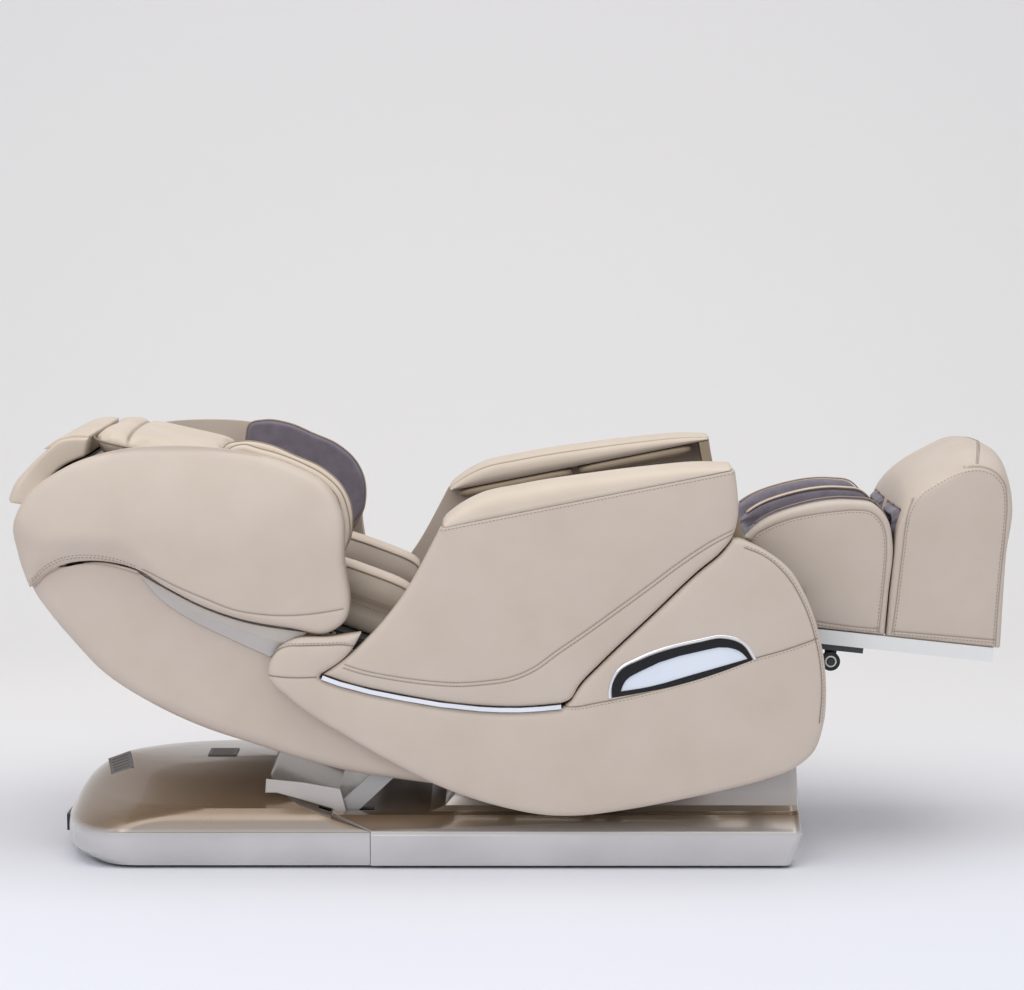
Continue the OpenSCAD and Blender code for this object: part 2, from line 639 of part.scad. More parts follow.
// Upholstered top: its crest keeps its height inwards and falls away at both edges.
module arm_pad_right() {
  rows = [[1, 0.3, 6], [3, 0.55, 3], [10, 0.78, 1], [24, 0.93, 0], [46, 1, 0], [92, 1, 0],
    [112, 0.94, 0], [124, 0.8, 2], [half_width - arm_in - 0.5, 0.5, 5]];
  outline = curve(arm_crest, 3);
  mid = (cover_top[0][0] + cover_top[1][0]) / 2;
  color("#d9c8b2") at_hip() skin([for (r = rows) [for (q = outline)
    [q[0] + r[2] * (q[0] < mid ? 1 : -1), r[0] - half_width,
      arm_line(q[0]) + max(q[1] - arm_line(q[0]), 0) * r[1]]]], true);
}
module arm_pad_left() { left() arm_pad_right(); }

module arm_airbags() {
  wide = panel_in - arm_in - 4;
  color("#cdbca6") both() at_arm() for (x = [22, 272])
    translate([x, -(panel_in + arm_in) / 2, -seat_gap]) mirror([0, 0, 1])
      cushion(238, wide, airbag_thick - 6, 6, 0.02, stations = 7, around = 12);
}

module arm_trays() {
  wide = panel_in - arm_in - 4;
  color("#6b6270") both() at_arm()
    translate([10, -(panel_in + arm_in) / 2, shell_z + seat_gap])
      cushion(512, wide, tray_pad - 6, 6, 0.02, [256], stations = 12, around = 14);
}

module arm_shells() {
  wall = 4;
  outer = plate_in - seat_gap;
  color("#8d8680") both() at_arm() mirror([0, 1, 0]) {
    block([-10, arm_long - 6], [arm_in, outer], [shell_z - wall, shell_z]);
    block([-10, arm_long - 6], [arm_in, arm_in + wall], [shell_z - 86, shell_z]);
    block([-10, arm_long - 6], [outer - wall, outer], [shell_z - 66, shell_z]);
    block([arm_long - 26, arm_long - 6], [arm_in, outer], [shell_z - wall, -seat_gap * 2]);
  }
}

// ---- backrest ----

shell_half = panel_in - shell_gap;
shield_in = shell_half + shield_proud - shield_thick;
bed = shell_half - 2 * shell_wall;   // inner face of the shell's side
hub_y = bed - 26.3;        // inner face of a backrest hub
board_in = 100;                      // inner edge of the boards under the cushions
rail_y = 174;              // middle of a backrest rail
rail_top = -56;            // height of the rails' upper face over the frame line
rail_head = -650;
tube_drop = rail_top - rail_side - seat_gap - tube_radius;
pad_floor = 21;            // underside of the back cushion over the frame line
pad_long = 640;
bolster_in = 165;
bolster_out = 222;
bolster_high = 124;

shield_low = [[-700, 195], [-663, 211], [-617, 217], [-571, 213], [-521, 200], [-470, 170], [-405, 136],
  [-332, 110], [-240, 93], [-170, 84]];
shield_rest = [[-143, 101], [-141, 222], [-146, 305], [-173, 355], [-237, 391], [-347, 420], [-457, 428],
  [-586, 415], [-660, 388], [-731, 333], [-752, 290], [-730, 206]];
shell_low = [[-736, 195], [-724, 161], [-693, 114], [-646, 57], [-601, 8], [-503, -58], [-415, -100],
  [-303, -138], [-209, -168], [-133, -187], [-39, -202]];
shell_front = [[36, -212, 1], [64, -192, 1], [10, -150], [-60, -62], [-120, 40], [-160, 76]];
shell_mid = [[-749.6, 307.7, 1], [-752, 245], [-732, 197], [-714, 164, 1], [-703, 170, 1], [-700, 260],
  [-711.6, 351.7, 1]];
trim_outline = [[-524, 196, 1], [-482, 144], [-427, 106], [-353, 69], [-279, 35, 1], [-204, 83, 1],
  [-240, 87], [-332, 104], [-405, 130], [-470, 164]];
shoulder_outline = [[-145, 216], [-139, 255], [-141, 290], [-165, 339], [-208, 382], [-264, 411],
  [-318, 421], [-350, 415], [-372, 394], [-366, 300], [-330, 230], [-240, 190]];

module back_frame() {
  color("#3f4145") difference() {
    union() {
      at_back() both() plate([[-620, -20], [-560, -tube_radius + tube_drop], [-80, -tube_radius + tube_drop],
        [14, -14], [14, 17], [-620, 17]], hub_y, hub_y + plate_thick);
      at_hip() both() pin(0, 0, hub_radius, hub_y - 4, plate_in - 10);
      at_hip() pin(0, 0, tube_radius - 2, -hub_y - over, hub_y + over);
      at_back() pin(-90, tube_drop, tube_radius, -hub_y - over, hub_y + over);
      at_back() for (x = [-350, -590]) pin(x, tube_drop, tube_radius, seat_gap - bed, bed - seat_gap);
      at_back() both() block([-660, -40], [board_in, hub_y + over], [pad_floor - seat_gap - 6, pad_floor - seat_gap]);
      at_hip() both() plate([[-16, 8], [16, 8], [drive_head[0] + 15, drive_head[1]], [drive_head[0], drive_head[1] - 15],
        [drive_head[0] - 15, drive_head[1]]], drive_eye + 2, drive_eye + 10);
      at_hip() pin(drive_head[0], drive_head[1], drive_pin, -drive_eye - 10, drive_eye + 10);
    }
    at_hip() both() pin(0, 0, bore_radius, hub_y - 5, half_width);
  }
}

module back_rails() {
  color("#b8babd") both() at_back()
    block([rail_head, -50], [rail_y - rail_side / 2, rail_y + rail_side / 2], [rail_top - rail_side, rail_top]);
}

// Bathtub under the backrest: open above and at the hip.
module back_shell() {
  outline = curve([each shell_low, each shell_front,
    each [for (i = [len(shield_low) - 1:-1:0]) shield_low[i] - [0, 5]]], 2);
  color("#cdbcae") at_hip() {
    difference() {
      padded(outline, -shell_half, shell_half, 26, 26, 3);
      plate([for (q = inset(outline, shell_wall)) if (q[0] > -690 || q[1] < 100) q], -bed, bed);
      plate([[-690, 110], [-690, 300], [-150, 300], [-60, 40], [40, -120], [80, -150], [80, -206],
        [30, -206], [-60, -140], [-300, -60], [-560, 70]], -bed, bed);
      both() block([-142, 90], [lift_y - 14, lift_y + 14], [-240, -60]);
    }
    plate(curve(shell_mid, 3), -shield_in + seat_gap, shield_in - seat_gap);
  }
}

// Each ring: distance in from the outer face, inset of the outline, drop of its top edge.
module side_shield_right() {
  outline = curve([each shield_low, each shield_rest], 2);
  color("#d0c0b3") at_hip() skin([for (r = [[0, 14, 30], [5, 5, 23], [16, 0, 14], [34, 0, 5],
      [shield_thick - 8, 0, 0], [shield_thick - 2, 3, 0], [shield_thick, 9, 0]])
    [for (q = inset(outline, r[1])) [q[0], r[0] - shell_half - shield_proud,
      q[1] - r[2] * pow(max(0, min(1, (q[1] - 230) / 190)), 2)]]], true);
}
module side_shield_left() { left() side_shield_right(); }

module spear_trims() {
  color("#c9ccd0") both() at_hip() plate(curve(trim_outline), -shell_half - 12, -shell_half - seat_gap);
}

module back_cushion() {
  color("#6b6270") at_back() translate([-30 - pad_long, 0, pad_floor - 1])
    cushion(pad_long, 2 * (bolster_in - 3), back_thick - 10, 10, 0.02, [130, 260, 400, 520], 28, 24,
      lift = [[0, 93], [0.18, 95], [0.34, 78], [0.55, 18], [0.7, 0], [1, 0]]);
}

module side_bolsters() {
  wide = bolster_out - bolster_in;
  color("#cdbca6") both() at_back() translate([-640, -(bolster_in + bolster_out) / 2, pad_floor])
    cushion(580, wide, bolster_high + 1, 6, 0.02, [110, 290], 14, 16);
}

module shoulder_pad_right() {
  outline = curve(shoulder_outline, 2);
  y0 = seat_gap - shield_in;
  color("#6b6270") at_hip() skin([for (r = [[0, 8], [2, 3], [10, 0], [18, 0], [20, 5], [22, 0], [38, 0],
    [40, 5], [42, 0], [52, 2], [58, 9], [60, 16]])
    [for (q = inset(outline, r[1])) [q[0], y0 + r[0] * shoulder_thick / 60, q[1]]]], true);
}
module shoulder_pad_left() { left() shoulder_pad_right(); }

pillow_half = 200;
module head_pillow() {
  color("#d9c8b2") at_hip() translate([-635, 0, 403]) rotate([0, 12, 0])
    cushion(262, 2 * pillow_half, 44, 16, 0.02, [70], 14, 24, 5, 7, 3, [[0, -4], [0.2, 2], [1, 0]]);
}

// Leather flap over the head end, from under the pillow down to its tip.
flap_outline = [[-750, 308, 1], [-712, 352, 1], [-683, 378], [-637, 400, 1], [-629, 434, 1], [-682, 430],
  [-711, 412], [-762, 366], [-782, 342], [-793, 316, 1]];
module head_flap() {
  color("#d9c8b2") at_hip() padded(curve(flap_outline, 3), -pillow_half - 15, pillow_half + 15, 6, 6, 2);
}

module speaker_grilles() {
  color("#c9ccd0") both() at_hip()
    pin(-440, 368, 30, seat_gap - shield_in, 4 - shield_in);
}

// ---- massage carriage ----

knead_x = -330;
knead_z = -30;
knead_pin = 8;
arm_y = roller_offset;
carriage_out = rail_y - rail_side / 2 - 1.5;

module massage_carriage() {
  color("#4c4e53") at_back() difference() {
    union() {
      both() block([knead_x - 100, knead_x + 100], [arm_y + 36, carriage_out], [rail_top - rail_side + 6, rail_top + 8]);
      both() block([knead_x - 60, knead_x + 60], [carriage_out - over, rail_y + 12], [rail_top + 0.5, rail_top + 8]);
      for (x = [knead_x - 100, knead_x + 84])
        block([x, x + 16], [-arm_y - 37, arm_y + 37], [rail_top - rail_side + 6, rail_top - 12]);
      both() plate([[knead_x - 30, rail_top], [knead_x + 30, rail_top], [knead_x + 14, knead_z + 4],
        [knead_x - 14, knead_z + 4]], arm_y + 37, arm_y + 45);
      both() pin(knead_x, knead_z, knead_pin, 2, arm_y + 46);
      pin(knead_x, knead_z, knead_pin, -4, 4);
    }
  }
}

module carriage_motor() {
  color("#2f3236") at_back() {
    block([knead_x - 84 + seat_gap, knead_x + 84 - seat_gap], [-34, 34], [rail_top - rail_side + 6, rail_top - 12]);
    for (x = [knead_x - 40, knead_x + 40]) pin(x, rail_top - rail_side / 2 + 5, 17, -36, 36);
  }
}

axle_r = 6;
module kneading_arms() {
  color("#8f9296") at_back() both() difference() {
    union() {
      plate([[knead_x - roller_pitch / 2, knead_z - 9], [knead_x + roller_pitch / 2, knead_z - 9],
        [knead_x + roller_pitch / 2, knead_z + 9], [knead_x + 16, knead_z + 15], [knead_x - 16, knead_z + 15],
        [knead_x - roller_pitch / 2, knead_z + 9]], arm_y + roller_width / 2 + 2, arm_y + roller_width / 2 + 10);
      pin(knead_x, knead_z, knead_pin + 7, arm_y + roller_width / 2 + 2, arm_y + roller_width / 2 + 12);
      for (s = [-1, 1]) pin(knead_x + s * roller_pitch / 2, knead_z, axle_r,
        arm_y - roller_width / 2 - 1, arm_y + roller_width / 2 + 3);
    }
    pin(knead_x, knead_z, knead_pin + pin_play, 0, half_width);
  }
}

module rollers(s) {
  color("#d8cdb8") at_back() both() translate([knead_x + s * roller_pitch / 2, arm_y, knead_z]) rotate([90, 0, 0])
    rotate_extrude() polygon([[axle_r + pin_play, -roller_width / 2], [roller_radius - 9, -roller_width / 2],
      [roller_radius - 3, -roller_width / 3], [roller_radius, -roller_width / 8], [roller_radius, roller_width / 8],
      [roller_radius - 3, roller_width / 3], [roller_radius - 9, roller_width / 2], [axle_r + pin_play, roller_width / 2]]);
}
module upper_rollers() { rollers(-1); }
module lower_rollers() { rollers(1); }

// ---- back drive: tube on the seat frame, rod on the backrest ----

drive_run = drive_head - drive_foot;
drive_long = norm(drive_run);
drive_angle = atan2(drive_run[1], drive_run[0]);
module at_drive() { at_hip() translate([drive_foot[0], 0, drive_foot[1]]) rotate([0, -drive_angle, 0]) children(); }

module back_drive() {
  color("#2b2d31") at_drive() difference() {
    union() {
      pin(0, 0, drive_pin + 8, -drive_eye, drive_eye);
      block([0, 30], [-drive_eye, drive_eye], [-drive_pin - 5, drive_pin + 5]);
      translate([24, 0, 0]) rotate([0, 90, 0]) cylinder(r = drive_radius, h = 204);
      block([20, 84], [-24, 24], [-58, -drive_radius + 4]);
    }
    pin(0, 0, drive_pin + pin_play, -drive_eye - over, drive_eye + over);
    translate([70, 0, 0]) rotate([0, 90, 0]) cylinder(r = rod_radius + seat_gap, h = 170);
  }
}

module back_drive_rod() {
  color("#c9cbce") at_drive() difference() {
    union() {
      translate([150, 0, 0]) rotate([0, 90, 0]) cylinder(r = rod_radius, h = drive_long - 150 - drive_pin - 8);
      pin(drive_long, 0, drive_pin + 12, -drive_eye, drive_eye);
    }
    pin(drive_long, 0, drive_pin + 5, -drive_eye - over, drive_eye + over);
  }
}

// ---- leg rest ----

leg_half = leg_width / 2;
leg_floor = -50;           // underside of the calf and foot units, from the knee line
calf_outline = [[52, leg_floor + 1.3, 1], [187, leg_floor + 1.3, 1], [185, 31], [180, 134], [168, 169], [138, 197],
  [98, 199], [4, 178], [-73, 136], [-98, 108, 1]];
foot_outline = [[191, leg_floor, 1], [408, leg_floor, 1], [397, 120], [391, 238], [366, 279], [322, 289], [272, 263],
  [198, 191], [188, 154], [187, 96]];
guide_at = [91.5, -110];
slide_rear = -35;
slide_front = 396;
slide_low = leg_floor - seat_gap - slide_height;
sole_at = [366, 20];
sole_axle_r = 5;
lining_out = leg_half - leg_wall - seat_gap;
well_floor = 28;           // floor of the leg channels above the knee line

module calf_panels() {
  color("#c6b6a8") both() at_knee() difference() {
    padded(curve(calf_outline, 3), -leg_half, leg_wall - leg_half, 9, 3, 2);
    pin(0, 0, hub_radius + 4, -leg_half - over, leg_half);
  }
}

// Two leg channels side by side, cut to the calf unit's outline.
module calf_lining() {
  deep = divider / 2;
  section = [[-lining_out, -12], [lining_out, -12], [lining_out, 176], [lining_out - 14, 186],
    [lining_out - 2 * lining - 14, 180], [lining_out - 2 * lining - 22, 120], [lining_out - 60, well_floor + 8],
    [deep + 44, well_floor], [deep + 14, well_floor + 14], [deep + 4, 100], [deep, 178], [deep - 8, 188],
    [8 - deep, 188], [-deep, 178], [-deep - 4, 100], [-deep - 14, well_floor + 14], [-deep - 44, well_floor],
    [60 - lining_out, well_floor + 8], [2 * lining + 22 - lining_out, 120], [2 * lining + 14 - lining_out, 180],
    [14 - lining_out, 186], [-lining_out, 176]];
  color("#6b6270") at_knee() difference() {
    intersection() {
      translate([-120, 0, 0]) rotate([90, 0, 90]) linear_extrude(320) polygon(section);
      plate(moved(curve(calf_outline, 3), [-2, 3]), -lining_out - over, lining_out + over);
    }
    pin(0, 0, hub_radius + 15, -leg_half, leg_half);
  }
}

module legrest_frame() {
  plate_y = lining_out - 14;
  color("#3f4145") at_knee() difference() {
    union() {
      both() plate([[-14, -14], [30, -47], [183, -47], [183, -12 - seat_gap], [30, -12 - seat_gap], [14, 14]],
        plate_y, plate_y + plate_thick);
      both() for (x = [70, 150]) pin(x, -31, tube_radius - 2, plate_y, leg_half - leg_wall - seat_gap);
      both() pin(0, 0, hub_radius, plate_y - 6, plate_y + plate_thick);
      for (x = [70, 150]) pin(x, -31, tube_radius - 2, -plate_y - over, plate_y + over);
      both() plate([[40, -88], [150, -88], [150, -40], [40, -40]], plate_y, plate_y + plate_thick);
      both() block([40, 150], [plate_y + over, leg_half - 2], [-88, slide_low - 0.5]);
      both() plate([[guide_at[0] - 12, -86], [guide_at[0] - 8, guide_at[1] - 8], [guide_at[0] + 8, guide_at[1] - 8],
        [guide_at[0] + 12, -86]], leg_half - 28, leg_half - 21);
      both() pin(guide_at[0], guide_at[1], axle_radius, leg_half - 22, leg_half - 2);
    }
    both() pin(0, 0, bore_radius, plate_y - 7, half_width);
  }
}

module guide_rollers() {
  color("#18181a") at_knee() both() difference() {
    pin(guide_at[0], guide_at[1], guide_radius, leg_half - 19, leg_half - 4);
    pin(guide_at[0], guide_at[1], axle_radius + pin_play, leg_half - 20, leg_half);
  }
}

// ---- foot unit ----

foot_crown = 35;
foot_nose = 11.7;
well_end = 386;            // where the soles rest
well_top = 225;
well_low = -30;

// Foot unit's outer form: its top and front swell towards the middle.
module foot_body() {
  outline = curve(foot_outline, 2);
  rows = [[0, 9], [1.2, 4], [4, 1.4], [9, 0]];
  function swell(y) = 1 - pow(abs(y) / leg_half, 2.6);
  function ring(y, e) = [for (q = inset(outline, e))
    [q[0] + foot_nose * swell(y) * max(0, min(1, (q[0] - 300) / 80)), y,
      q[1] + foot_crown * swell(y) * max(0, min(1, (q[1] - 40) / 160))]];
  skin([for (r = rows) ring(r[0] - leg_half, r[1]),
    for (y = [-180:45:180]) ring(y, 0),
    for (i = [len(rows) - 1:-1:0]) ring(leg_half - rows[i][0], rows[i][1])], true);
}

module wells(grow, front) {
  both() plate([[front, well_low - grow], [well_end + grow, well_low - grow], [well_end + grow, 170],
    [350, well_top + grow], [300, well_top + grow], [front, 176 + grow]],
    divider / 2 - grow, lining_out + grow);
}

module foot_cover() {
  color("#d3c3b5") at_knee() difference() {
    foot_body();
    wells(0, 150);
  }
}

module foot_lining() {
  color("#6b6270") at_knee() difference() {
    wells(-seat_gap, 196);
    wells(-seat_gap - lining, 150);
    pin(sole_at[0], sole_at[1], sole_axle_r + 1, -leg_half, leg_half);
    both() pin(sole_at[0], sole_at[1], sole_radius + 2, divider / 2 + lining + 3, lining_out - lining - 3);
  }
}

module foot_rails() {
  color("#e6e8e8") at_knee() both() {
    block([slide_rear, slide_front], [leg_half - slide_width, leg_half],
      [slide_low, leg_floor - seat_gap]);
  }
}

module sole_axle() {
  color("#9b9da0") at_knee() both()
    pin(sole_at[0], sole_at[1], sole_axle_r, divider / 2 + seat_gap, lining_out - seat_gap);
}

module sole_rollers() {
  color("#d8cdb8") at_knee() both() difference() {
    pin(sole_at[0], sole_at[1], sole_radius, divider / 2 + lining + 6, lining_out - lining - 6);
    pin(sole_at[0], sole_at[1], sole_axle_r + pin_play, 0, leg_half);
  }
}

base_tray();
rubber_feet();
rear_cover();
front_cover();
pivot_stands();
tilt_shaft();
control_box();
air_pump();
power_inlet();
power_switch();
vent_grilles();
screw_caps();
transport_wheels();
lift_sleeves();
lift_rods();
seat_frame();
knee_shaft();
seat_pan();
seat_cushion();
side_panel_right();
side_panel_left();
arm_cover_right();
arm_cover_left();
arm_shells();
arm_pad_right();
arm_pad_left();
arm_airbags();
arm_trays();
chrome_strips();
lamp_housings();
lamp_lenses();
back_frame();
back_shell();
back_rails();
back_cushion();
head_pillow();
head_flap();
side_shield_right();
side_shield_left();
shoulder_pad_right();
shoulder_pad_left();
side_bolsters();
spear_trims();
speaker_grilles();
massage_carriage();
carriage_motor();
kneading_arms();
upper_rollers();
lower_rollers();
legrest_frame();
calf_panels();
calf_lining();
guide_rollers();
foot_cover();
foot_lining();
foot_rails();
sole_axle();
sole_rollers();
back_drive();
back_drive_rod();
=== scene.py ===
"""Massage chair lying fully back: upholstery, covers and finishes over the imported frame."""
import json
import bmesh
import bpy
import numpy as np
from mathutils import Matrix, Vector
from mathutils.geometry import delaunay_2d_cdt


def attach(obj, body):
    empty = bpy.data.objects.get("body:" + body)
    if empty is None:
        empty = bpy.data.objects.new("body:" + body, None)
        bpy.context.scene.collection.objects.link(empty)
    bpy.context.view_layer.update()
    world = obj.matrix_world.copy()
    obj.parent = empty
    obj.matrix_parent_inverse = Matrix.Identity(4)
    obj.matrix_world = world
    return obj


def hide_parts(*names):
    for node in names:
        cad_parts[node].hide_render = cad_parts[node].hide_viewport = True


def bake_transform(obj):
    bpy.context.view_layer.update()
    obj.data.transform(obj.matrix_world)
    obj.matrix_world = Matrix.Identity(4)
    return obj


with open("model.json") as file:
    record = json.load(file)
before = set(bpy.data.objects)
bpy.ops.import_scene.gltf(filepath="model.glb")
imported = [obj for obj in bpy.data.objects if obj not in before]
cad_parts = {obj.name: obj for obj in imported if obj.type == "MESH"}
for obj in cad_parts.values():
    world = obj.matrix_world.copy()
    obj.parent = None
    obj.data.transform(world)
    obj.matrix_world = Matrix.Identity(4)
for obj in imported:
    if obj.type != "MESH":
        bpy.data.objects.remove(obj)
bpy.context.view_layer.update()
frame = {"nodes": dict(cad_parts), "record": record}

# ---------------------------------------------------------------------------
# Studio: a pale sweep that the chair stands on. Painted board, bent up behind
# the chair into a wall, under one broad lamp and an even pale sky.
# ---------------------------------------------------------------------------

MM = 0.001
BLUE_TO, GREY_FROM = -0.9, 1.4
FLOOR_REACH, WALL_AT, WALL_BEND, WALL_TOP = 30000, 4200, 2000, 7000


def grid_faces(rows, across, closed=False):
    """Quads of a rows x across grid of points, joined round in the second direction if closed."""
    r, c = np.meshgrid(np.arange(rows - 1), np.arange(across - (not closed)), indexing="ij")
    n = (c + 1) % across
    below, above = r * across, (r + 1) * across
    return np.stack([below + c, below + n, above + n, above + c], -1).reshape(-1, 4)


def new_mesh(name, points, faces, smooth=True):
    """Object at the origin whose mesh has these points, given in millimetres."""
    mesh = bpy.data.meshes.new(name)
    mesh.from_pydata((np.asarray(points, float) * MM).tolist(), [], [list(map(int, f)) for f in faces])
    if smooth:
        mesh.shade_smooth()
    else:
        mesh.shade_flat()
    mesh.update()
    made = bpy.data.objects.new(name, mesh)
    bpy.context.scene.collection.objects.link(made)
    return made


def new_material(name):
    """Material with an empty Principled shader, and the parts needed to wire it."""
    mat = bpy.data.materials.new(name)
    mat.use_nodes = True
    tree = mat.node_tree
    return mat, tree.nodes, tree.links, tree.nodes["Principled BSDF"]


def studio_paint():
    """Pale paint: bluish in front, neutral grey further back, faintly cloudy, and clear from behind."""
    mat, nodes, links, shader = new_material("studio_paint")
    where = nodes.new("ShaderNodeTexCoord")
    split = nodes.new("ShaderNodeSeparateXYZ")
    away = nodes.new("ShaderNodeMapRange")
    away.inputs["From Min"].default_value, away.inputs["From Max"].default_value = BLUE_TO, GREY_FROM
    tone = nodes.new("ShaderNodeValToRGB")
    tone.color_ramp.elements[0].color = (0.80, 0.815, 0.90, 1)
    tone.color_ramp.elements[1].color = (0.895, 0.875, 0.872, 1)
    cloud = nodes.new("ShaderNodeTexNoise")
    cloud.inputs["Scale"].default_value = 1.3
    blend = nodes.new("ShaderNodeMix")
    blend.data_type = "RGBA"
    blend.inputs["B"].default_value = (0.88, 0.88, 0.89, 1)
    faint = nodes.new("ShaderNodeMath")
    faint.operation = "MULTIPLY"
    faint.inputs[1].default_value = 0.12
    links.new(where.outputs["Object"], split.inputs[0])
    links.new(where.outputs["Object"], cloud.inputs["Vector"])
    links.new(split.outputs["Y"], away.inputs["Value"])
    links.new(away.outputs[0], tone.inputs[0])
    links.new(cloud.outputs[0], faint.inputs[0])
    links.new(faint.outputs[0], blend.inputs["Factor"])
    links.new(tone.outputs[0], blend.inputs["A"])
    links.new(blend.outputs["Result"], shader.inputs["Base Color"])
    shader.inputs["Roughness"].default_value = 0.6
    shader.inputs["Specular IOR Level"].default_value = 0.25
    side = nodes.new("ShaderNodeNewGeometry")
    clear = nodes.new("ShaderNodeBsdfTransparent")
    either = nodes.new("ShaderNodeMixShader")
    links.new(side.outputs["Backfacing"], either.inputs["Fac"])
    links.new(shader.outputs[0], either.inputs[1])
    links.new(clear.outputs[0], either.inputs[2])
    links.new(either.outputs[0], nodes["Material Output"].inputs["Surface"])
    return mat


# Profile carried along X: flat floor, quarter circle of 2 m radius, upright wall.
bend = np.radians(np.linspace(0, 90, 25))
bend = np.stack([WALL_AT - WALL_BEND * (1 - np.sin(bend)), WALL_BEND * (1 - np.cos(bend))], 1)
sweep = np.concatenate([[[-FLOOR_REACH, 0]], bend, [[WALL_AT, WALL_TOP]]])
sweep_points = np.array([[[x, y, z] for y, z in sweep] for x in (-FLOOR_REACH, FLOOR_REACH)])
backdrop = new_mesh("studio_sweep", sweep_points.reshape(-1, 3), grid_faces(2, len(sweep)))
if backdrop.data.polygons[0].normal.z < 0:
    backdrop.data.flip_normals()
backdrop.data.materials.append(studio_paint())

world = bpy.data.worlds.new("studio_sky")
bpy.context.scene.world = world
world.use_nodes = True
world.node_tree.nodes["Background"].inputs["Color"].default_value = (0.96, 0.98, 1.0, 1)
world.node_tree.nodes["Background"].inputs["Strength"].default_value = 0.70


def lamp(name, place, aim, size, watts, tint):
    """Rectangular soft box at place, in metres, turned towards aim."""
    light = bpy.data.lights.new(name, "AREA")
    light.shape = "RECTANGLE"
    light.size, light.size_y = size
    light.energy = watts
    light.color = tint
    made = bpy.data.objects.new(name, light)
    made.location = place
    made.rotation_euler = (Vector(aim) - Vector(place)).to_track_quat("-Z", "Y").to_euler()
    bpy.context.scene.collection.objects.link(made)


WARM_WHITE = (1.0, 0.985, 0.96)
lamp("soft_box_top", (0.0, -0.6, 3.6), (0, 0, 0), (4.5, 3.0), 62, WARM_WHITE)
lamp("soft_box_front", (-1.6, -4.2, 2.4), (0, 0, 0.4), (2.5, 1.8), 34, WARM_WHITE)

lens = bpy.data.cameras.new("studio_camera")
lens.sensor_width = 36
lens.lens = 99.1
camera = bpy.data.objects.new("studio_camera", lens)
camera.location = (0.003, -5.515, 1.270)
camera.rotation_euler = (np.radians(83.72), 0, 0)
bpy.context.scene.collection.objects.link(camera)
bpy.context.scene.camera = camera
bpy.context.scene.view_settings.view_transform = "Standard"

# ---------------------------------------------------------------------------
# Finishes. Four surface effects serve every finish: the pebbled grain of coated
# leather, the weave of cloth, the fine speckle of moulded plastic and the drawn
# lines of steel. Each gives a tone from 0 to 1 and a bumped normal.
# ---------------------------------------------------------------------------


def effect(name, build):
    """Node group with inputs Scale and Depth and outputs Tone and Normal, filled in by build."""
    group = bpy.data.node_groups.new(name, "ShaderNodeTree")
    for label, value in (("Scale", 1.0), ("Depth", 0.1)):
        socket = group.interface.new_socket(label, in_out="INPUT", socket_type="NodeSocketFloat")
        socket.default_value = value
    group.interface.new_socket("Tone", in_out="OUTPUT", socket_type="NodeSocketFloat")
    group.interface.new_socket("Normal", in_out="OUTPUT", socket_type="NodeSocketVector")
    nodes, links = group.nodes, group.links
    given = nodes.new("NodeGroupInput")
    result = nodes.new("NodeGroupOutput")
    where = nodes.new("ShaderNodeTexCoord")

    def texture(kind, factor, **values):
        """Texture on Object coordinates whose scale is factor times the group's Scale."""
        node = nodes.new(kind)
        scaled = nodes.new("ShaderNodeMath")
        scaled.operation = "MULTIPLY"
        scaled.inputs[1].default_value = factor
        links.new(given.outputs["Scale"], scaled.inputs[0])
        links.new(scaled.outputs[0], node.inputs["Scale"])
        links.new(where.outputs["Object"], node.inputs["Vector"])
        for key, value in values.items():
            if key in node.inputs:
                node.inputs[key].default_value = value
            else:
                setattr(node, key, value)
        return node

    def mixed(a, b, share):
        """a and b added, b counting share."""
        node = nodes.new("ShaderNodeMath")
        node.operation = "MULTIPLY_ADD"
        node.inputs[1].default_value = share
        links.new(b, node.inputs[0])
        links.new(a, node.inputs[2])
        return node.outputs[0]

    tone, height = build(texture, mixed)
    bump = nodes.new("ShaderNodeBump")
    bump.inputs["Distance"].default_value = 0.0006
    links.new(given.outputs["Depth"], bump.inputs["Strength"])
    links.new(height, bump.inputs["Height"])
    links.new(tone, result.inputs["Tone"])
    links.new(bump.outputs[0], result.inputs["Normal"])
    return group


def grain_effect(texture, mixed):
    """Pebbles 1.2 mm across with soft creases between them, over a slow cloudiness."""
    pebbles = texture("ShaderNodeTexVoronoi", 800.0, feature="SMOOTH_F1", Smoothness=0.6)
    creases = texture("ShaderNodeTexNoise", 260.0, Detail=3.0)
    cloud = texture("ShaderNodeTexNoise", 9.0, Detail=4.0)
    return (mixed(cloud.outputs[0], pebbles.outputs["Distance"], 0.10),
            mixed(pebbles.outputs["Distance"], creases.outputs[0], 0.8))


def weave_effect(texture, mixed):
    """Threads crossing about 1.5 mm apart, with a nap that lies in patches."""
    warp = texture("ShaderNodeTexWave", 210.0, bands_direction="X", Distortion=1.2, Detail=1.0)
    weft = texture("ShaderNodeTexWave", 210.0, bands_direction="Z", Distortion=1.2, Detail=1.0)
    nap = texture("ShaderNodeTexNoise", 34.0, Detail=5.0, Roughness=0.7)
    return mixed(nap.outputs[0], warp.outputs[1], 0.08), mixed(warp.outputs[1], weft.outputs[1], 1.0)


def speckle_effect(texture, mixed):
    """Fine sparkle texture of a mould, over a slow cloudiness."""
    fine = texture("ShaderNodeTexNoise", 1500.0, Detail=2.0)
    cloud = texture("ShaderNodeTexNoise", 5.0, Detail=3.0)
    return mixed(cloud.outputs[0], fine.outputs[0], 0.25), fine.outputs[0]


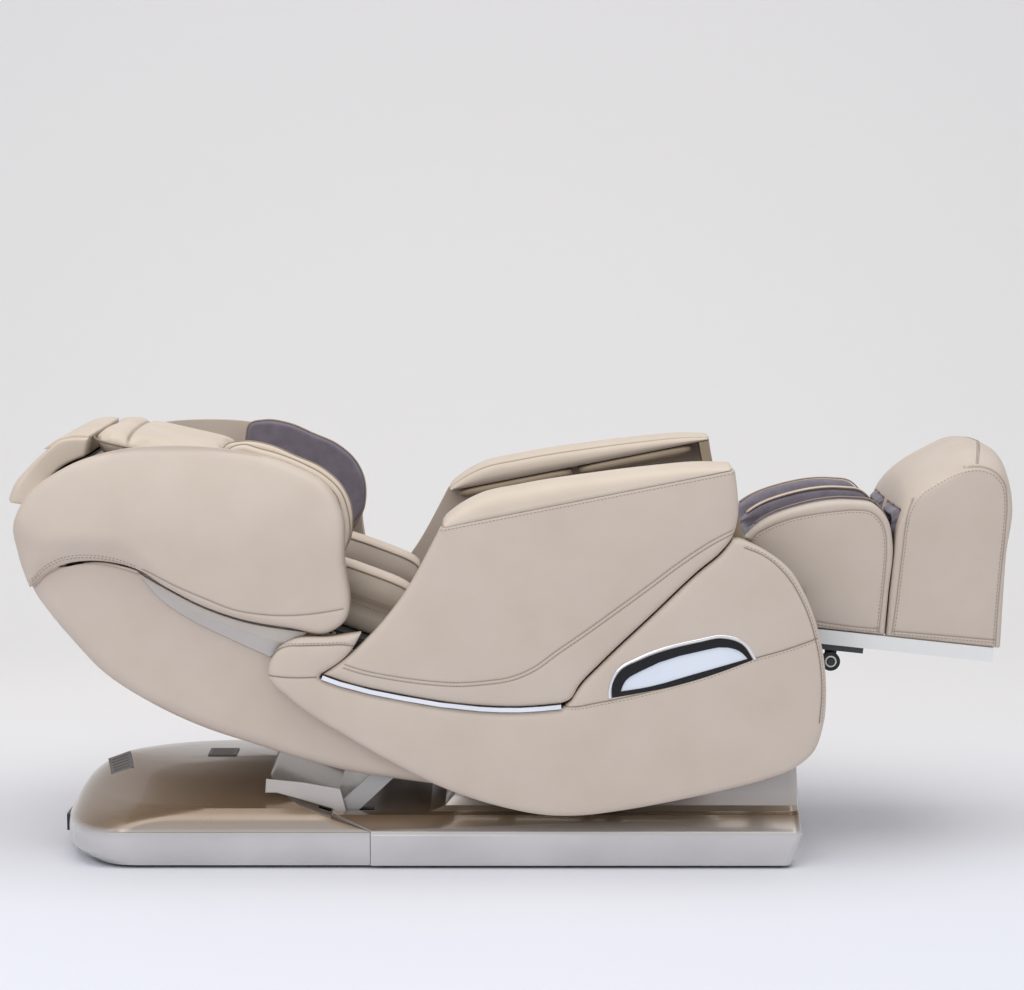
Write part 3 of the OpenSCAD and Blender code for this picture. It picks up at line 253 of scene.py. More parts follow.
def drawn_effect(texture, mixed):
    """Fine lines from drawing or turning, with dull and bright patches."""
    lines = texture("ShaderNodeTexWave", 300.0, bands_direction="Z", Distortion=3.0, Detail=3.0)
    patches = texture("ShaderNodeTexNoise", 14.0, Detail=4.0)
    return mixed(patches.outputs[0], lines.outputs[1], 0.15), lines.outputs[1]


EFFECTS = {"grain": effect("leather_grain", grain_effect),
           "weave": effect("cloth_weave", weave_effect),
           "speckle": effect("mould_speckle", speckle_effect),
           "drawn": effect("drawn_lines", drawn_effect)}


def finish(name, dark, light, surface, roughness, depth=0.2, scale=1.0, shade_tint=None, **sockets):
    """Material whose colour runs from dark to light with a surface effect's tone.

    shade_tint: colour of painted shade that the attribute seam draws in: shade in stitched-down lines,
    channels and folds, and on the base covers a painted reflection of the chair's shaded underside."""
    mat, nodes, links, shader = new_material(name)
    worked = nodes.new("ShaderNodeGroup")
    worked.node_tree = EFFECTS[surface]
    worked.inputs["Scale"].default_value = scale
    worked.inputs["Depth"].default_value = depth
    tone = nodes.new("ShaderNodeValToRGB")
    tone.color_ramp.elements[0].position, tone.color_ramp.elements[1].position = 0.3, 0.75
    tone.color_ramp.elements[0].color = (*dark, 1)
    tone.color_ramp.elements[1].color = (*light, 1)
    links.new(worked.outputs["Tone"], tone.inputs[0])
    links.new(worked.outputs["Normal"], shader.inputs["Normal"])
    colour = tone.outputs[0]
    # Painted shade: the colour is pulled towards shade_tint as far as the attribute seam says.
    if shade_tint:
        marked = nodes.new("ShaderNodeAttribute")
        marked.attribute_name = "seam"
        blend = nodes.new("ShaderNodeMix")
        blend.data_type = "RGBA"
        blend.inputs["B"].default_value = (*shade_tint, 1)
        links.new(marked.outputs["Fac"], blend.inputs["Factor"])
        links.new(colour, blend.inputs["A"])
        colour = blend.outputs["Result"]
    links.new(colour, shader.inputs["Base Color"])
    rough = nodes.new("ShaderNodeMapRange")
    rough.inputs["To Min"].default_value = roughness + 0.05
    rough.inputs["To Max"].default_value = roughness - 0.05
    links.new(worked.outputs["Tone"], rough.inputs["Value"])
    links.new(rough.outputs[0], shader.inputs["Roughness"])
    for key, value in sockets.items():
        shader.inputs[key.replace("_", " ")].default_value = value
    return mat


LEATHER = {"surface": "grain", "depth": 0.16, "Specular_IOR_Level": 0.35}
WOVEN = {"surface": "weave", "roughness": 0.80, "depth": 0.35, "Specular_IOR_Level": 0.2,
         "Sheen_Roughness": 0.5}
# Each shade_tint below is the colour of painted shade in seams, channels and folds.
LEATHER_SIDE = finish("leather_side", (0.562, 0.474, 0.402), (0.602, 0.517, 0.447), roughness=0.50,
                      shade_tint=(0.20, 0.15, 0.12), **LEATHER)
LEATHER_WARM = finish("leather_warm", (0.620, 0.525, 0.430), (0.670, 0.575, 0.480), roughness=0.48,
                      shade_tint=(0.24, 0.17, 0.11), **LEATHER)
# Painted shade: the arm's leather darkened to how it shows in the shade inside the arm.
LEATHER_SHADED = finish("leather_shaded", (0.34, 0.265, 0.185), (0.40, 0.320, 0.230), "grain", 0.50, 0.16,
                       shade_tint=(0.20, 0.14, 0.08), Specular_IOR_Level=0.3)
CLOTH = finish("cloth_mauve", (0.150, 0.128, 0.160), (0.215, 0.190, 0.232), shade_tint=(0.05, 0.04, 0.05),
               Sheen_Weight=0.35, **WOVEN)
CLOTH_BROWN = finish("cloth_brown", (0.150, 0.118, 0.098), (0.205, 0.168, 0.142), shade_tint=(0.05, 0.04, 0.03),
                     Sheen_Weight=0.3, **WOVEN)
THREAD = finish("thread_brown", (0.23, 0.17, 0.13), (0.33, 0.26, 0.20), "weave", 0.7, 0.3)
PIPING = finish("piping_brown", (0.27, 0.205, 0.155), (0.36, 0.285, 0.22), "grain", 0.5, 0.2)

# ---------------------------------------------------------------------------
# Side panels: leather over foam on a moulded board, clipped to the seat frame.
# A fold runs round the front rim, a seam below the lamp and one over the ear.
# ---------------------------------------------------------------------------

HIP = np.array([-168.0, 360.0])
KNEE = np.array([530.0, 488.0])
HALF_WIDTH, PANEL_THICK, PANEL_EDGE, PANEL_GAP = 375.0, 38.0, 12.0, 3.0
STRIP_HALF, STRIP_GAP = 4.0, 1.0

strip_line = [[-180, 5], [-147, -7], [-36, -33], [112, -54], [186, -56], [262, -50]]
cover_front = [[278, -38], [296, -10], [333, 29], [429, 121], [517, 205], [554, 236], [576, 264]]
cover_rise = [[586, 298], [585, 354]]
cover_top = [[580, 390], [39, 283]]
cover_back = [[20, 246], [-35, 150], [-128, 47]]
panel_low = [[-280, 7], [-240, -37], [-129, -112], [-37, -165], [37, -202], [149, -240], [232, -256],
             [298, -257], [372, -248], [456, -233], [549, -213], [641, -189], [696, -167], [730, -138],
             [749, -84], [753, -18], [741, 75], [716, 150], [682, 206], [640, 238]]
ear_top = [[-108, 86, 1], [-165, 79], [-239, 72], [-266, 53]]
window = [[356, -33, 1], [356, -11], [370, 17], [407, 38], [518, 72], [558, 79], [595, 68], [616, 38, 1],
          [500, -3]]


def unit(v):
    """Vectors of length one."""
    return v / np.maximum(np.linalg.norm(v, axis=-1, keepdims=True), 1e-9)


def beside(line, d):
    """Open line moved sideways by d, to the left of its direction."""
    p = np.asarray(line, float)
    ahead = np.concatenate([p[1:2] - p[:1], p[2:] - p[:-2], p[-1:] - p[-2:-1]])
    u = unit(ahead)
    return p + d * np.stack([-u[:, 1], u[:, 0]], 1)


def sharp_ends(line):
    """Points as lists, the first and last marked as sharp corners."""
    rows = [list(map(float, q[:2])) for q in line]
    rows[0].append(1)
    rows[-1].append(1)
    return rows


def hermite(t, a, b, ma, mb):
    """Cubic from a to b at shares t of the way, with slopes ma and mb at its ends."""
    share = 3 * t**2 - 2 * t**3
    return a * (1 - share) + b * share + ma * (t**3 - 2 * t**2 + t) + mb * (t**3 - t**2)


def curve(points, steps=8, closed=True):
    """Cubic Hermite curve through points; a third value marks a corner, and two corners join straight.

    Each end direction averages the two chords, the nearer neighbour counting more."""
    p = np.array([q[:2] for q in points], float)
    corner = np.array([len(q) > 2 for q in points])
    if not closed:
        corner[[0, -1]] = True
    back, ahead = p - np.roll(p, 1, 0), np.roll(p, -1, 0) - p
    d0, d1 = (np.linalg.norm(v, axis=1, keepdims=True) for v in (back, ahead))
    head = (back / d0 * d1 + ahead / d1 * d0) / (d0 + d1)
    va, vb = head * d1, np.roll(head, -1, 0) * d1
    sa, sb = corner[:, None], np.roll(corner, -1)[:, None]
    ma = np.where(sa, np.where(sb, ahead, 1.5 * ahead - vb / 2), va)
    mb = np.where(sb, np.where(sa, ahead, 1.5 * ahead - va / 2), vb)
    t = (np.arange(steps) / steps)[None, :, None]
    a, b, ma, mb = (v[:, None, :] for v in (p, np.roll(p, -1, 0), ma, mb))
    out = hermite(t, a, b, ma, mb)
    return out.reshape(-1, 2) if closed else np.concatenate([out[:-1].reshape(-1, 2), p[-1:]])


def evenly(line, step, closed=True):
    """Points a step apart along a line of segments."""
    p = np.concatenate([line, line[:1]]) if closed else np.asarray(line, float)
    run = np.concatenate([[0], np.cumsum(np.linalg.norm(np.diff(p, axis=0), axis=1))])
    n = max(int(round(run[-1] / step)), 3)
    s = np.linspace(0, run[-1], n + 1)[:n + (not closed)]
    return np.stack([np.interp(s, run, p[:, k]) for k in range(p.shape[1])], 1)


def winding(p):
    """1 for a closed outline that runs anticlockwise, -1 for the other way."""
    q = np.roll(p, -1, 0)
    return np.sign((p[:, 0] * q[:, 1] - p[:, 1] * q[:, 0]).sum())


def inset(p, d):
    """Closed outline moved inwards by d, each corner along its own bisector."""
    u, v = unit(p - np.roll(p, 1, 0)), unit(np.roll(p, -1, 0) - p)
    m = winding(p) * np.stack([-u[:, 1] - v[:, 1], u[:, 0] + v[:, 0]], 1)
    return p + m * (2 * d / (m * m).sum(1, keepdims=True))


def reach(points, line, closed=True):
    """Distance from each point to the nearest place on a line of segments."""
    a = np.asarray(line, float)
    b = np.roll(a, -1, 0)
    if not closed:
        a, b = a[:-1], b[:-1]
    out = []
    for part in np.array_split(points, max(1, len(points) * len(a) // 2000000)):
        w, v = part[:, None, :] - a[None], (b - a)[None]
        t = np.clip((w * v).sum(2) / np.maximum((v * v).sum(2), 1e-9), 0, 1)
        out.append(np.sqrt(((w - t[..., None] * v) ** 2).sum(2).min(1)))
    return np.concatenate(out)


def inside(points, loop):
    """True where a point lies in a closed outline: a ray to the right crosses it an odd number of times."""
    a, b = loop[None], np.roll(loop, -1, 0)[None]
    x, y = points[:, 0:1], points[:, 1:2]
    over = (a[..., 1] > y) != (b[..., 1] > y)
    with np.errstate(divide="ignore", invalid="ignore"):
        cross = a[..., 0] + (y - a[..., 1]) / (b[..., 1] - a[..., 1]) * (b[..., 0] - a[..., 0])
    return (over & (x < cross)).sum(1) % 2 == 1


# Places of a plan's close rows: shares of the rim's width, and millimetres beside a seam.
RIM_ROWS = (0.06, 0.2, 0.42, 0.7, 1.05)
SEAM_ROWS = (-6.0, -3.6, -1.8, 0.0, 1.8, 3.6, 6.0)


def plan(outline, seams=(), hole=None, step=7.0, rim=12.0, edge_step=4.0):
    """Triangles over an outline: close rows inside its rim and beside its seams, an even field between.

    Returns points, triangles, the numbers of the points on the outline and on the hole, and the outline."""
    loop = evenly(outline, edge_step) if edge_step else outline
    rows = [loop]
    for d in RIM_ROWS:
        row = inset(loop, d * rim)
        rows.append(row[reach(row, loop) > 0.97 * d * rim])
    hollow = None if hole is None else evenly(hole, edge_step)
    if hollow is not None:
        rows.insert(1, hollow)
        rows += [inset(hollow, -2.0), inset(hollow, -5.0)]
    for seam in seams:
        path = evenly(seam, 3.0, closed=False)
        rows += [beside(path, d) for d in SEAM_ROWS]
    lo, hi = loop.min(0), loop.max(0)
    gx, gz = np.meshgrid(np.arange(lo[0], hi[0], step), np.arange(lo[1], hi[1], step * 0.866))
    gx = gx + (np.arange(gx.shape[0]) % 2)[:, None] * step / 2
    field = np.stack([gx.ravel(), gz.ravel()], 1)
    field = field[inside(field, loop)]
    field = field[reach(field, loop) > rim * RIM_ROWS[-1] + step * 0.5]
    for seam in seams:
        field = field[reach(field, seam, closed=False) > SEAM_ROWS[-1] + step * 0.5]
    rows.append(field)
    extra = np.concatenate(rows[1:])
    fixed = 0 if hollow is None else len(hollow)
    keep = inside(extra, loop) & (reach(extra, loop) > 0.3)
    if hollow is not None:
        far = reach(extra, hollow) > 1.0
        keep &= ~inside(extra, hollow) & far
        keep[:fixed] = True
    points = np.concatenate([loop, extra[keep]])
    n = len(loop)
    edges = [(i, (i + 1) % n) for i in range(n)] + [(n + i, n + (i + 1) % fixed) for i in range(fixed)]
    made = delaunay_2d_cdt([Vector(p) for p in points], edges, [list(range(n))], 1, 1e-4)
    verts, _, tris, back = made[:4]
    where = {old: new for new, olds in enumerate(back) for old in olds}
    verts = np.array([v[:] for v in verts])
    tris = np.array([t for t in tris if len(t) == 3])
    if hollow is not None:
        tris = tris[~inside(verts[tris].mean(1), hollow)]
    e1, e2 = verts[tris[:, 1]] - verts[tris[:, 0]], verts[tris[:, 2]] - verts[tris[:, 0]]
    area = e1[:, 0] * e2[:, 1] - e1[:, 1] * e2[:, 0]
    tris[area < 0] = tris[area < 0][:, ::-1]
    tris = tris[np.abs(area) > 1e-6]
    edge = np.array([where[i] for i in range(n)])
    loops = [edge if winding(loop) > 0 else edge[::-1]]
    if hollow is not None:
        edge = np.array([where[n + i] for i in range(fixed)])
        loops.append(edge[::-1] if winding(hollow) > 0 else edge)
    return verts, tris, loops, loop


def rounded(d, edge):
    """Drop of a rolled edge at distance d inside an outline: a quarter circle of radius edge."""
    t = np.clip(d / edge, 0, 1)
    return -edge * (1 - np.sqrt(np.maximum(1 - (1 - t) ** 2, 0)))


def stitched(points, seams, deep=1.7, wide=2.0):
    """(height, shade_mask) of stitched-down lines: a narrow fold in a shallow dip, and how strong the painted
    shade in it shows.
    """
    height, shade_mask = np.zeros(len(points)), np.zeros(len(points))
    for seam in seams:
        d = reach(points, seam, closed=False)
        height -= deep * np.exp(-(d / wide) ** 2) + 0.35 * deep * np.exp(-(d / 8) ** 2)
        # Painted shade: strongest right on the seam line.
        shade_mask = np.maximum(shade_mask, np.exp(-(d / 1.3) ** 2))
    return height, shade_mask


def store_painted_shade(piece, shade_mask):
    """Stores how much painted shade each point shows, as the attribute seam."""
    stored = piece.data.attributes.new("seam", "FLOAT", "POINT").data
    stored.foreach_set("value", np.asarray(shade_mask, np.float32))


def fit(piece, mat, body, slot, nodes=(), pad=None):
    """Gives a piece its finish and its body and hides the nodes it stands for; slot and pad are not used."""
    piece.data.materials.clear()
    piece.data.materials.append(mat)
    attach(piece, body)
    if nodes:
        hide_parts(*nodes)


def both_sides(name, points, faces, shade_mask, mat, body, slot, node, pad=0.7):
    """Right-hand piece and its mirror, each standing for its own CAD node."""
    for side, sign in (("right", 1), ("left", -1)):
        piece = new_mesh(f"{name}_{side}", points * [1, sign, 1], [f[::sign] for f in faces])
        if shade_mask is not None:
            store_painted_shade(piece, shade_mask)
        fit(piece, mat, body, slot, (f"{node}_{side}",), pad)


def raised(flat, y, origin=HIP):
    """Points of a plan in X and Z about origin, set at y."""
    return np.stack([flat[:, 0] + origin[0], np.broadcast_to(y, len(flat)), flat[:, 1] + origin[1]], 1)


def slab(layout, origin, outer, inner):
    """Closed solid over a plan in X and Z: outer and inner give Y at (x, z, distance from the rim)."""
    flat, tris, loops, loop = layout
    d = reach(flat, loop)
    n = len(flat)
    points = np.concatenate([raised(flat, outer(flat, d), origin), raised(flat, inner(flat, d), origin)])
    faces = [list(t) for t in tris] + [list(t[::-1] + n) for t in tris]
    for edge in loops:
        faces += np.stack([edge, edge + n, np.roll(edge, -1) + n, np.roll(edge, -1)], 1).tolist()
    return points, faces


STITCH_PITCH, STITCH_LONG, THREAD_THICK, THREAD_PROUD = 7.0, 4.6, 0.55, 0.2


def stitches(name, paths, body, slot):
    """Threads lying along paths: a six-sided bead with pointed ends for each stitch.

    paths: lists of points in X, Y and Z that lie on the leather."""
    lines = [evenly(np.asarray(path, float), STITCH_PITCH, closed=False) for path in paths]
    c = np.concatenate([(p[1:] + p[:-1]) / 2 for p in lines])[:, None]
    u = np.concatenate([unit(p[1:] - p[:-1]) for p in lines])
    side = unit(np.cross(u, np.array([0.31, 0.42, 0.85])))
    rise = np.cross(u, side)
    a = (np.arange(6) / 6 * 2 * np.pi)[None, :, None]
    ring = (np.cos(a) * side[:, None] + np.sin(a) * rise[:, None]) * THREAD_THICK
    half = u[:, None] * STITCH_LONG / 2
    points = np.concatenate([c - half, c - 0.6 * half + ring, c + 0.6 * half + ring, c + half], 1)
    k = np.arange(6)
    j = (k + 1) % 6
    tips = [[0, 1 + n, 1 + m] for m, n in zip(k, j)] + [[13, 7 + m, 7 + n] for m, n in zip(k, j)]
    sides = [[1 + m, 1 + n, 7 + n, 7 + m] for m, n in zip(k, j)]
    first = np.arange(len(c))[:, None, None] * 14
    faces = [face for shape in (tips, sides)
             for face in (np.array(shape) + first).reshape(-1, len(shape[0])).tolist()]
    fit(new_mesh(name, points.reshape(-1, 3), faces), THREAD, body, slot)


def mirrored(paths):
    """The paths and the same paths on the other side of the chair."""
    return list(paths) + [np.asarray(p) * [1, -1, 1] for p in paths]


strip_tip = 4 * unit(np.array([[-180.0, 5.0]]) - [[-147.0, -7.0]])[0]
low_side = beside(strip_line, -STRIP_HALF - STRIP_GAP)
low_side[0] += strip_tip
panel_outline = curve([*panel_low, [590, 262, 1], *sharp_ends(beside(cover_front, -PANEL_GAP)[::-1]),
                       *sharp_ends(low_side[::-1]), [*(beside(strip_line, STRIP_HALF)[0] + strip_tip), 1],
                       *[list(q) for q in beside(cover_back, -PANEL_GAP) if q[1] < 70], *ear_top], 10)
window_loop = curve(window, 10)


def drawn(points, steps=12):
    """Open smooth line through points."""
    return curve(points, steps, closed=False)


rim_fold = drawn([[600, 246], [640, 228], [674, 198], [707, 145], [732, 73], [744, -18], [740, -80]])
lamp_seam = drawn([[266, -50], [291, -50], [321, -44], [352, -38], [487, -5], [573, 23], [610, 38], [675, 57],
                   [733, 77]])
ear_seam = drawn([[-276, 38], [-262, 55], [-243, 63], [-220, 64], [-174, 65], [-132, 65], [-119, 62]])
ear_stitch = drawn([[-278, 8], [-244, 5], [-193, 5]])
panel_seams = [rim_fold, lamp_seam, ear_seam, ear_stitch]
panel_plan = plan(panel_outline, panel_seams, window_loop, step=9.0)


def swell(d, rise, start, spread):
    """Foam rising under leather: nothing within start of the rim, nearly all of rise a few spreads in."""
    return rise * (1 - np.exp(-np.maximum(d - start, 0) / spread))


def panel_height(flat, d):
    """Foam swelling 5 mm behind a rolled edge, pulled down along the seams."""
    return rounded(d, PANEL_EDGE) + swell(d, 5, 6, 45) + stitched(flat, panel_seams)[0]


points, faces = slab(panel_plan, HIP, lambda f, d: -HALF_WIDTH - panel_height(f, d),
                     lambda f, d: PANEL_THICK - HALF_WIDTH)
shade_mask = np.tile(stitched(panel_plan[0], panel_seams)[1], 2)
both_sides("side_panel_leather", points, faces, shade_mask, LEATHER_SIDE, "seat", "leather_beige", "side_panel")


def on_face(line, height, loop, offset=0.0, half=HALF_WIDTH):
    """Path on a right-hand face above a line in the plan, moved sideways by offset."""
    flat = beside(evenly(line, 4.0, closed=False), offset)
    flat = flat[inside(flat, loop)]
    return raised(flat, -half - height(flat, reach(flat, loop)) - THREAD_PROUD)


panel_rows = [on_face(line, panel_height, panel_plan[3], offset) for line, offset in
              ((rim_fold, 4.0), (lamp_seam, -4.2), (ear_seam, 4.0), (ear_stitch, 0.0))]
stitches("side_panel_stitches", mirrored(panel_rows), "seat", "leather_beige")

# ---------------------------------------------------------------------------
# Lamp in the front of each side panel: a gloss black housing clipped into the
# leather, a milky lens, and a bright surround folded from one chromed strip.
# ---------------------------------------------------------------------------


def dress(node, mat):
    """Gives a frame piece its finish."""
    slots = frame["nodes"][node].data.materials
    slots.clear()
    slots.append(mat)


def frames(path, closed):
    """Unit side and rise along a path, for carrying a profile along it."""
    ahead = np.roll(path, -1, 0) - np.roll(path, 1, 0)
    if not closed:
        ahead[0], ahead[-1] = path[1] - path[0], path[-1] - path[-2]
    t = unit(ahead)
    side = unit(np.cross(t, [0.0, 1.0, 0.001]))
    return side, np.cross(side, t)


def pointed(rings, first, last):
    """(points, faces) of rings with a fan of triangles to a point at each end."""
    rows, around = rings.shape[:2]
    n = rows * around
    k = np.arange(around)
    j = (k + 1) % around
    caps = np.stack([np.full(around, n), j, k], 1).tolist()
    caps += np.stack([np.full(around, n + 1), n - around + k, n - around + j], 1).tolist()
    points = np.concatenate([rings.reshape(-1, 3), [first, last]])
    return points, grid_faces(rows, around, True).tolist() + caps


def capped(rings):
    """(points, faces) of rings closed by a flat face at each end."""
    rows, around = rings.shape[:2]
    last = (rows - 1) * around
    caps = [list(range(around))[::-1], list(range(last, last + around))]
    return rings.reshape(-1, 3), grid_faces(rows, around, True).tolist() + caps


def tube(path, radius, around=8, closed=False):
    """Round welt along a path; open ends come to a point."""
    side, rise = (v[:, None] for v in frames(path, closed))
    a = (np.arange(around) / around * 2 * np.pi)[None, :, None]
    rings = path[:, None] + radius * (np.cos(a) * side + np.sin(a) * rise)
    if not closed:
        return pointed(rings, path[0], path[-1])
    return rings.reshape(-1, 3), (grid_faces(len(path) + 1, around, True) % (len(path) * around)).tolist()


def merged(parts):
    """Several (points, faces) as one."""
    points, faces, base = [], [], 0
    for p, f in parts:
        points.append(p)
        faces += [[i + base for i in face] for face in f]
        base += len(p)
    return np.concatenate(points), faces


def outward(piece, gap=None):
    """Joins points that lie within gap of each other, and turns every closed shell's faces outwards."""
    work = bmesh.new()
    work.from_mesh(piece.data)
    if gap:
        bmesh.ops.remove_doubles(work, verts=work.verts, dist=gap * MM)
    bmesh.ops.recalc_face_normals(work, faces=work.faces)
    work.to_mesh(piece.data)
    work.free()


def simple(name, parts, mat, body, slot, nodes=(), pad=None, shade_mask=None):
    """One piece from (points, faces) parts, riding on a body and standing for nodes."""
    piece = new_mesh(name, *merged(parts))
    if shade_mask is not None:
        store_painted_shade(piece, shade_mask)
    outward(piece)
    fit(piece, mat, body, slot, nodes, pad)


def two(parts):
    """The right-hand parts and their mirror images."""
    return list(parts) + [(p * [1, -1, 1], [f[::-1] for f in faces]) for p, faces in parts]


CHROME = finish("chrome_bright", (0.80, 0.82, 0.86), (0.90, 0.91, 0.94), "drawn", 0.12, 0.02, Metallic=1.0)
GLOSS_BLACK = finish("gloss_black", (0.004, 0.004, 0.005), (0.009, 0.009, 0.011), "speckle", 0.14, 0.02,
                     Specular_IOR_Level=0.3)
MILKY = finish("lens_milky", (0.66, 0.72, 0.83), (0.76, 0.81, 0.90), "speckle", 0.12, 0.01, Coat_Weight=0.5)
dress("lamp_housings", GLOSS_BLACK)
dress("lamp_lenses", MILKY)
dress("chrome_strips", CHROME)

surround = drawn([[352, -34], [353, -10], [367, 19], [405, 41.5], [518, 75.5], [558, 82.5], [597, 71.5],
                  [620, 39]], 16)
surround = raised(evenly(surround, 3.0, closed=False), -HALF_WIDTH - 2.6)
simple("lamp_surrounds", two([tube(surround, 3.1, 12)]), CHROME, "seat", "trim_chrome")

# ---------------------------------------------------------------------------
# Arm covers: leather over foam, one curved double row of stitches low down and
# one along the top where it meets the arm pad. They hide the forearm units.
# ---------------------------------------------------------------------------

cover_points = [*sharp_ends(beside(strip_line, STRIP_HALF + STRIP_GAP)), *cover_front, *cover_rise,
                [*cover_top[0], 1], [*cover_top[1], 1], *cover_back]
cover_outline = curve(cover_points, 10)
cover_curve = drawn([[-140, 26], [-104, 15], [-48, 4], [20, -5], [69, -8], [118, -5], [173, 4], [210, 20],
                     [253, 51], [302, 85], [364, 130], [425, 175], [486, 221], [541, 257], [578, 276]])
cover_seams = [beside(cover_curve, 3.5), beside(cover_curve, -3.5)]
cover_plan = plan(cover_outline, cover_seams, step=9.0)
top_edge = np.array(cover_top, float)


def cover_height(flat, d):
    """Rolled edge all round, but only 3 mm at the top seam, with a soft swell and two stitched rows."""
    top = reach(flat, top_edge, closed=False)
    roll = np.where(top < d + 0.4, rounded(top, 3.0), rounded(d, PANEL_EDGE))
    return roll + swell(d, 5.5, 6, 60) + stitched(flat, cover_seams, 0.9, 1.6)[0]


shade_mask = np.tile(0.6 * stitched(cover_plan[0], cover_seams)[1], 2)
points, faces = slab(cover_plan, HIP, lambda f, d: -HALF_WIDTH - cover_height(f, d),
                     lambda f, d: PANEL_THICK - HALF_WIDTH)
both_sides("arm_cover_leather", points, faces, shade_mask, LEATHER_SIDE, "seat", "leather_beige", "arm_cover")
cover_rows = [on_face(line, cover_height, cover_plan[3], offset) for line, offset in
              ((cover_curve, 3.5), (cover_curve, -3.5), (top_edge[::-1], -5.5))]
stitches("arm_cover_stitches", mirrored(cover_rows), "seat", "leather_beige")

# ---------------------------------------------------------------------------
# Arm pads: soft tops of the arms. Leather over shaped foam, seamed where the
# top turns down to the sitter's side, closed round the front of the slot.
# ---------------------------------------------------------------------------

ARM_IN, PAD_ROLL_OUT, PAD_ROLL_IN, PAD_SEAM = 245.0, 46, 84, 116
ARM_SLOPE = np.arctan2(cover_top[0][1] - cover_top[1][1], cover_top[0][0] - cover_top[1][0])
arm_crest = [[580, 390.4, 1], [574, 395], [560, 396], [516, 397], [443, 391], [333, 378], [186, 355],
             [112, 338], [63, 310], [46, 295], [39, 283.4, 1]]


def turned(points, angle, place):
    """Points turned about Y, nose down by angle, then set at place in X and Z."""
    c, s = np.cos(angle), np.sin(angle)
    x, z = points[..., 0], points[..., 2]
    return np.stack([x * c + z * s + place[0], points[..., 1], z * c - x * s + place[1]], -1)


def joined(x, y, z):
    """Points from X, Y and Z that stretch to one shape."""
    return np.stack(np.broadcast_arrays(x, y, z), -1)


def arm_pad():
    """Crest of the pad times a profile across it: a quarter of a rounded square outside, a roll inside.

    Rows run along the arm, points go up the outer side, over the top, down the inside and back below."""
    crest = evenly(curve(arm_crest, 16)[:-16][::-1], 6.0, closed=False)
    crest = crest[(crest[:, 0] > 39.5) & (crest[:, 0] < 579.8)]
    line = cover_top[1][1] + (crest[:, 0] - cover_top[1][0]) * np.tan(ARM_SLOPE) + 0.3
    high = np.maximum(crest[:, 1] - line, 0.2)
    deep = HALF_WIDTH - ARM_IN - 1.0
    t = deep * (1 - np.cos(np.linspace(0, np.pi, 61))) / 2
    outer = (1 - np.clip(1 - t / PAD_ROLL_OUT, 0, 1) ** 2.8) ** (1 / 2.8)
    inner = (1 - np.clip((t - PAD_ROLL_IN) / (deep - PAD_ROLL_IN), 0, 1) ** 3.2) ** (1 / 2.2)
    profile = outer * (0.30 + 0.70 * inner)
    profile[0] = 0.0
    seam = np.exp(-((t - PAD_SEAM) / 1.6) ** 2)
    pull = 1.6 * seam + 2.0 * np.exp(-((t - PAD_SEAM) / 9) ** 2)
    end = 6 * (1 - profile)
    way = np.clip(1 - (crest[:, 0] - 39) / 70, 0, 1) - np.clip(1 - (580 - crest[:, 0]) / 70, 0, 1)
    x = crest[:, :1] + way[:, None] * end[None]
    z = line[:, None] + high[:, None] * profile[None] - pull[None] * np.minimum(1, high / 20)[:, None]
    back = t[::-6][1:-1]
    rings = np.concatenate([joined(x, t - HALF_WIDTH + 0.4, z),
                            joined(crest[:, :1], back - HALF_WIDTH + 0.4, line[:, None])], 1)
    # Painted shade along the pad's seam, none on its underside.
    shade_mask = np.concatenate([np.broadcast_to(seam, z.shape), np.zeros((len(z), len(back)))], 1)
    return rings + [HIP[0], 0, HIP[1]], shade_mask.ravel()


FOAM_PRESSURE, FOAM_FRAMES = 4.0, 18


def soften(name, points, faces, cap, voxel, floor):
    """Foam under a cover: the form is remeshed evenly and blown up as cloth, each point moving no further
    than cap, while points lower than floor stay where they are.

    Returns the new points and faces in millimetres."""
    form = new_mesh(name + "_form", points, faces)
    outward(form)
    remesh = form.modifiers.new("even", "REMESH")
    remesh.mode, remesh.voxel_size = "VOXEL", voxel * MM
    deps = bpy.context.evaluated_depsgraph_get()
    even = bpy.data.meshes.new_from_object(form.evaluated_get(deps))
    form.modifiers.clear()
    form.data = even
    start = np.empty(len(even.vertices) * 3)
    even.vertices.foreach_get("co", start)
    start = start.reshape(-1, 3)
    moved = start.copy()
    cloth = form.modifiers.new("blown", "CLOTH")
    cloth.settings.use_pressure = True
    cloth.settings.uniform_pressure_force = FOAM_PRESSURE
    cloth.settings.effector_weights.gravity = 0
    cloth.settings.quality = 4
    cloth.collision_settings.use_collision = False
    held = form.vertex_groups.new(name="held")
    held.add(np.flatnonzero(start[:, 2] / MM < floor).tolist(), 1.0, "REPLACE")
    cloth.settings.vertex_group_mass = "held"
    scene = bpy.context.scene
    cloth.point_cache.frame_start, cloth.point_cache.frame_end = 1, FOAM_FRAMES + 2
    for step in range(FOAM_FRAMES):
        scene.frame_set(step + 1)
    deps = bpy.context.evaluated_depsgraph_get()
    moved = np.empty(len(start) * 3)
    form.evaluated_get(deps).data.vertices.foreach_get("co", moved)
    moved = moved.reshape(-1, 3)
    scene.frame_set(1)
    shift = moved - start
    far = np.linalg.norm(shift, axis=1, keepdims=True)
    moved = start + shift * np.minimum(1, cap * MM / np.maximum(far, 1e-9))
    out = [tuple(p.vertices) for p in even.polygons]
    bpy.data.objects.remove(form)
    return moved / MM, out


rings, shade_mask = arm_pad()
both_sides("arm_pad_leather", *capped(rings), shade_mask, LEATHER_WARM, "seat", "leather_light", "arm_pad", 0.6)

# ---------------------------------------------------------------------------
# Forearm units: two air cells under each arm pad, in thin leather blown from flat
# welded sheets, and a padded cloth tray below.
# ---------------------------------------------------------------------------


def squared(c, power):
    """Power curve that squares a circle off."""
    return np.sign(c) * np.abs(c) ** (2 / power)


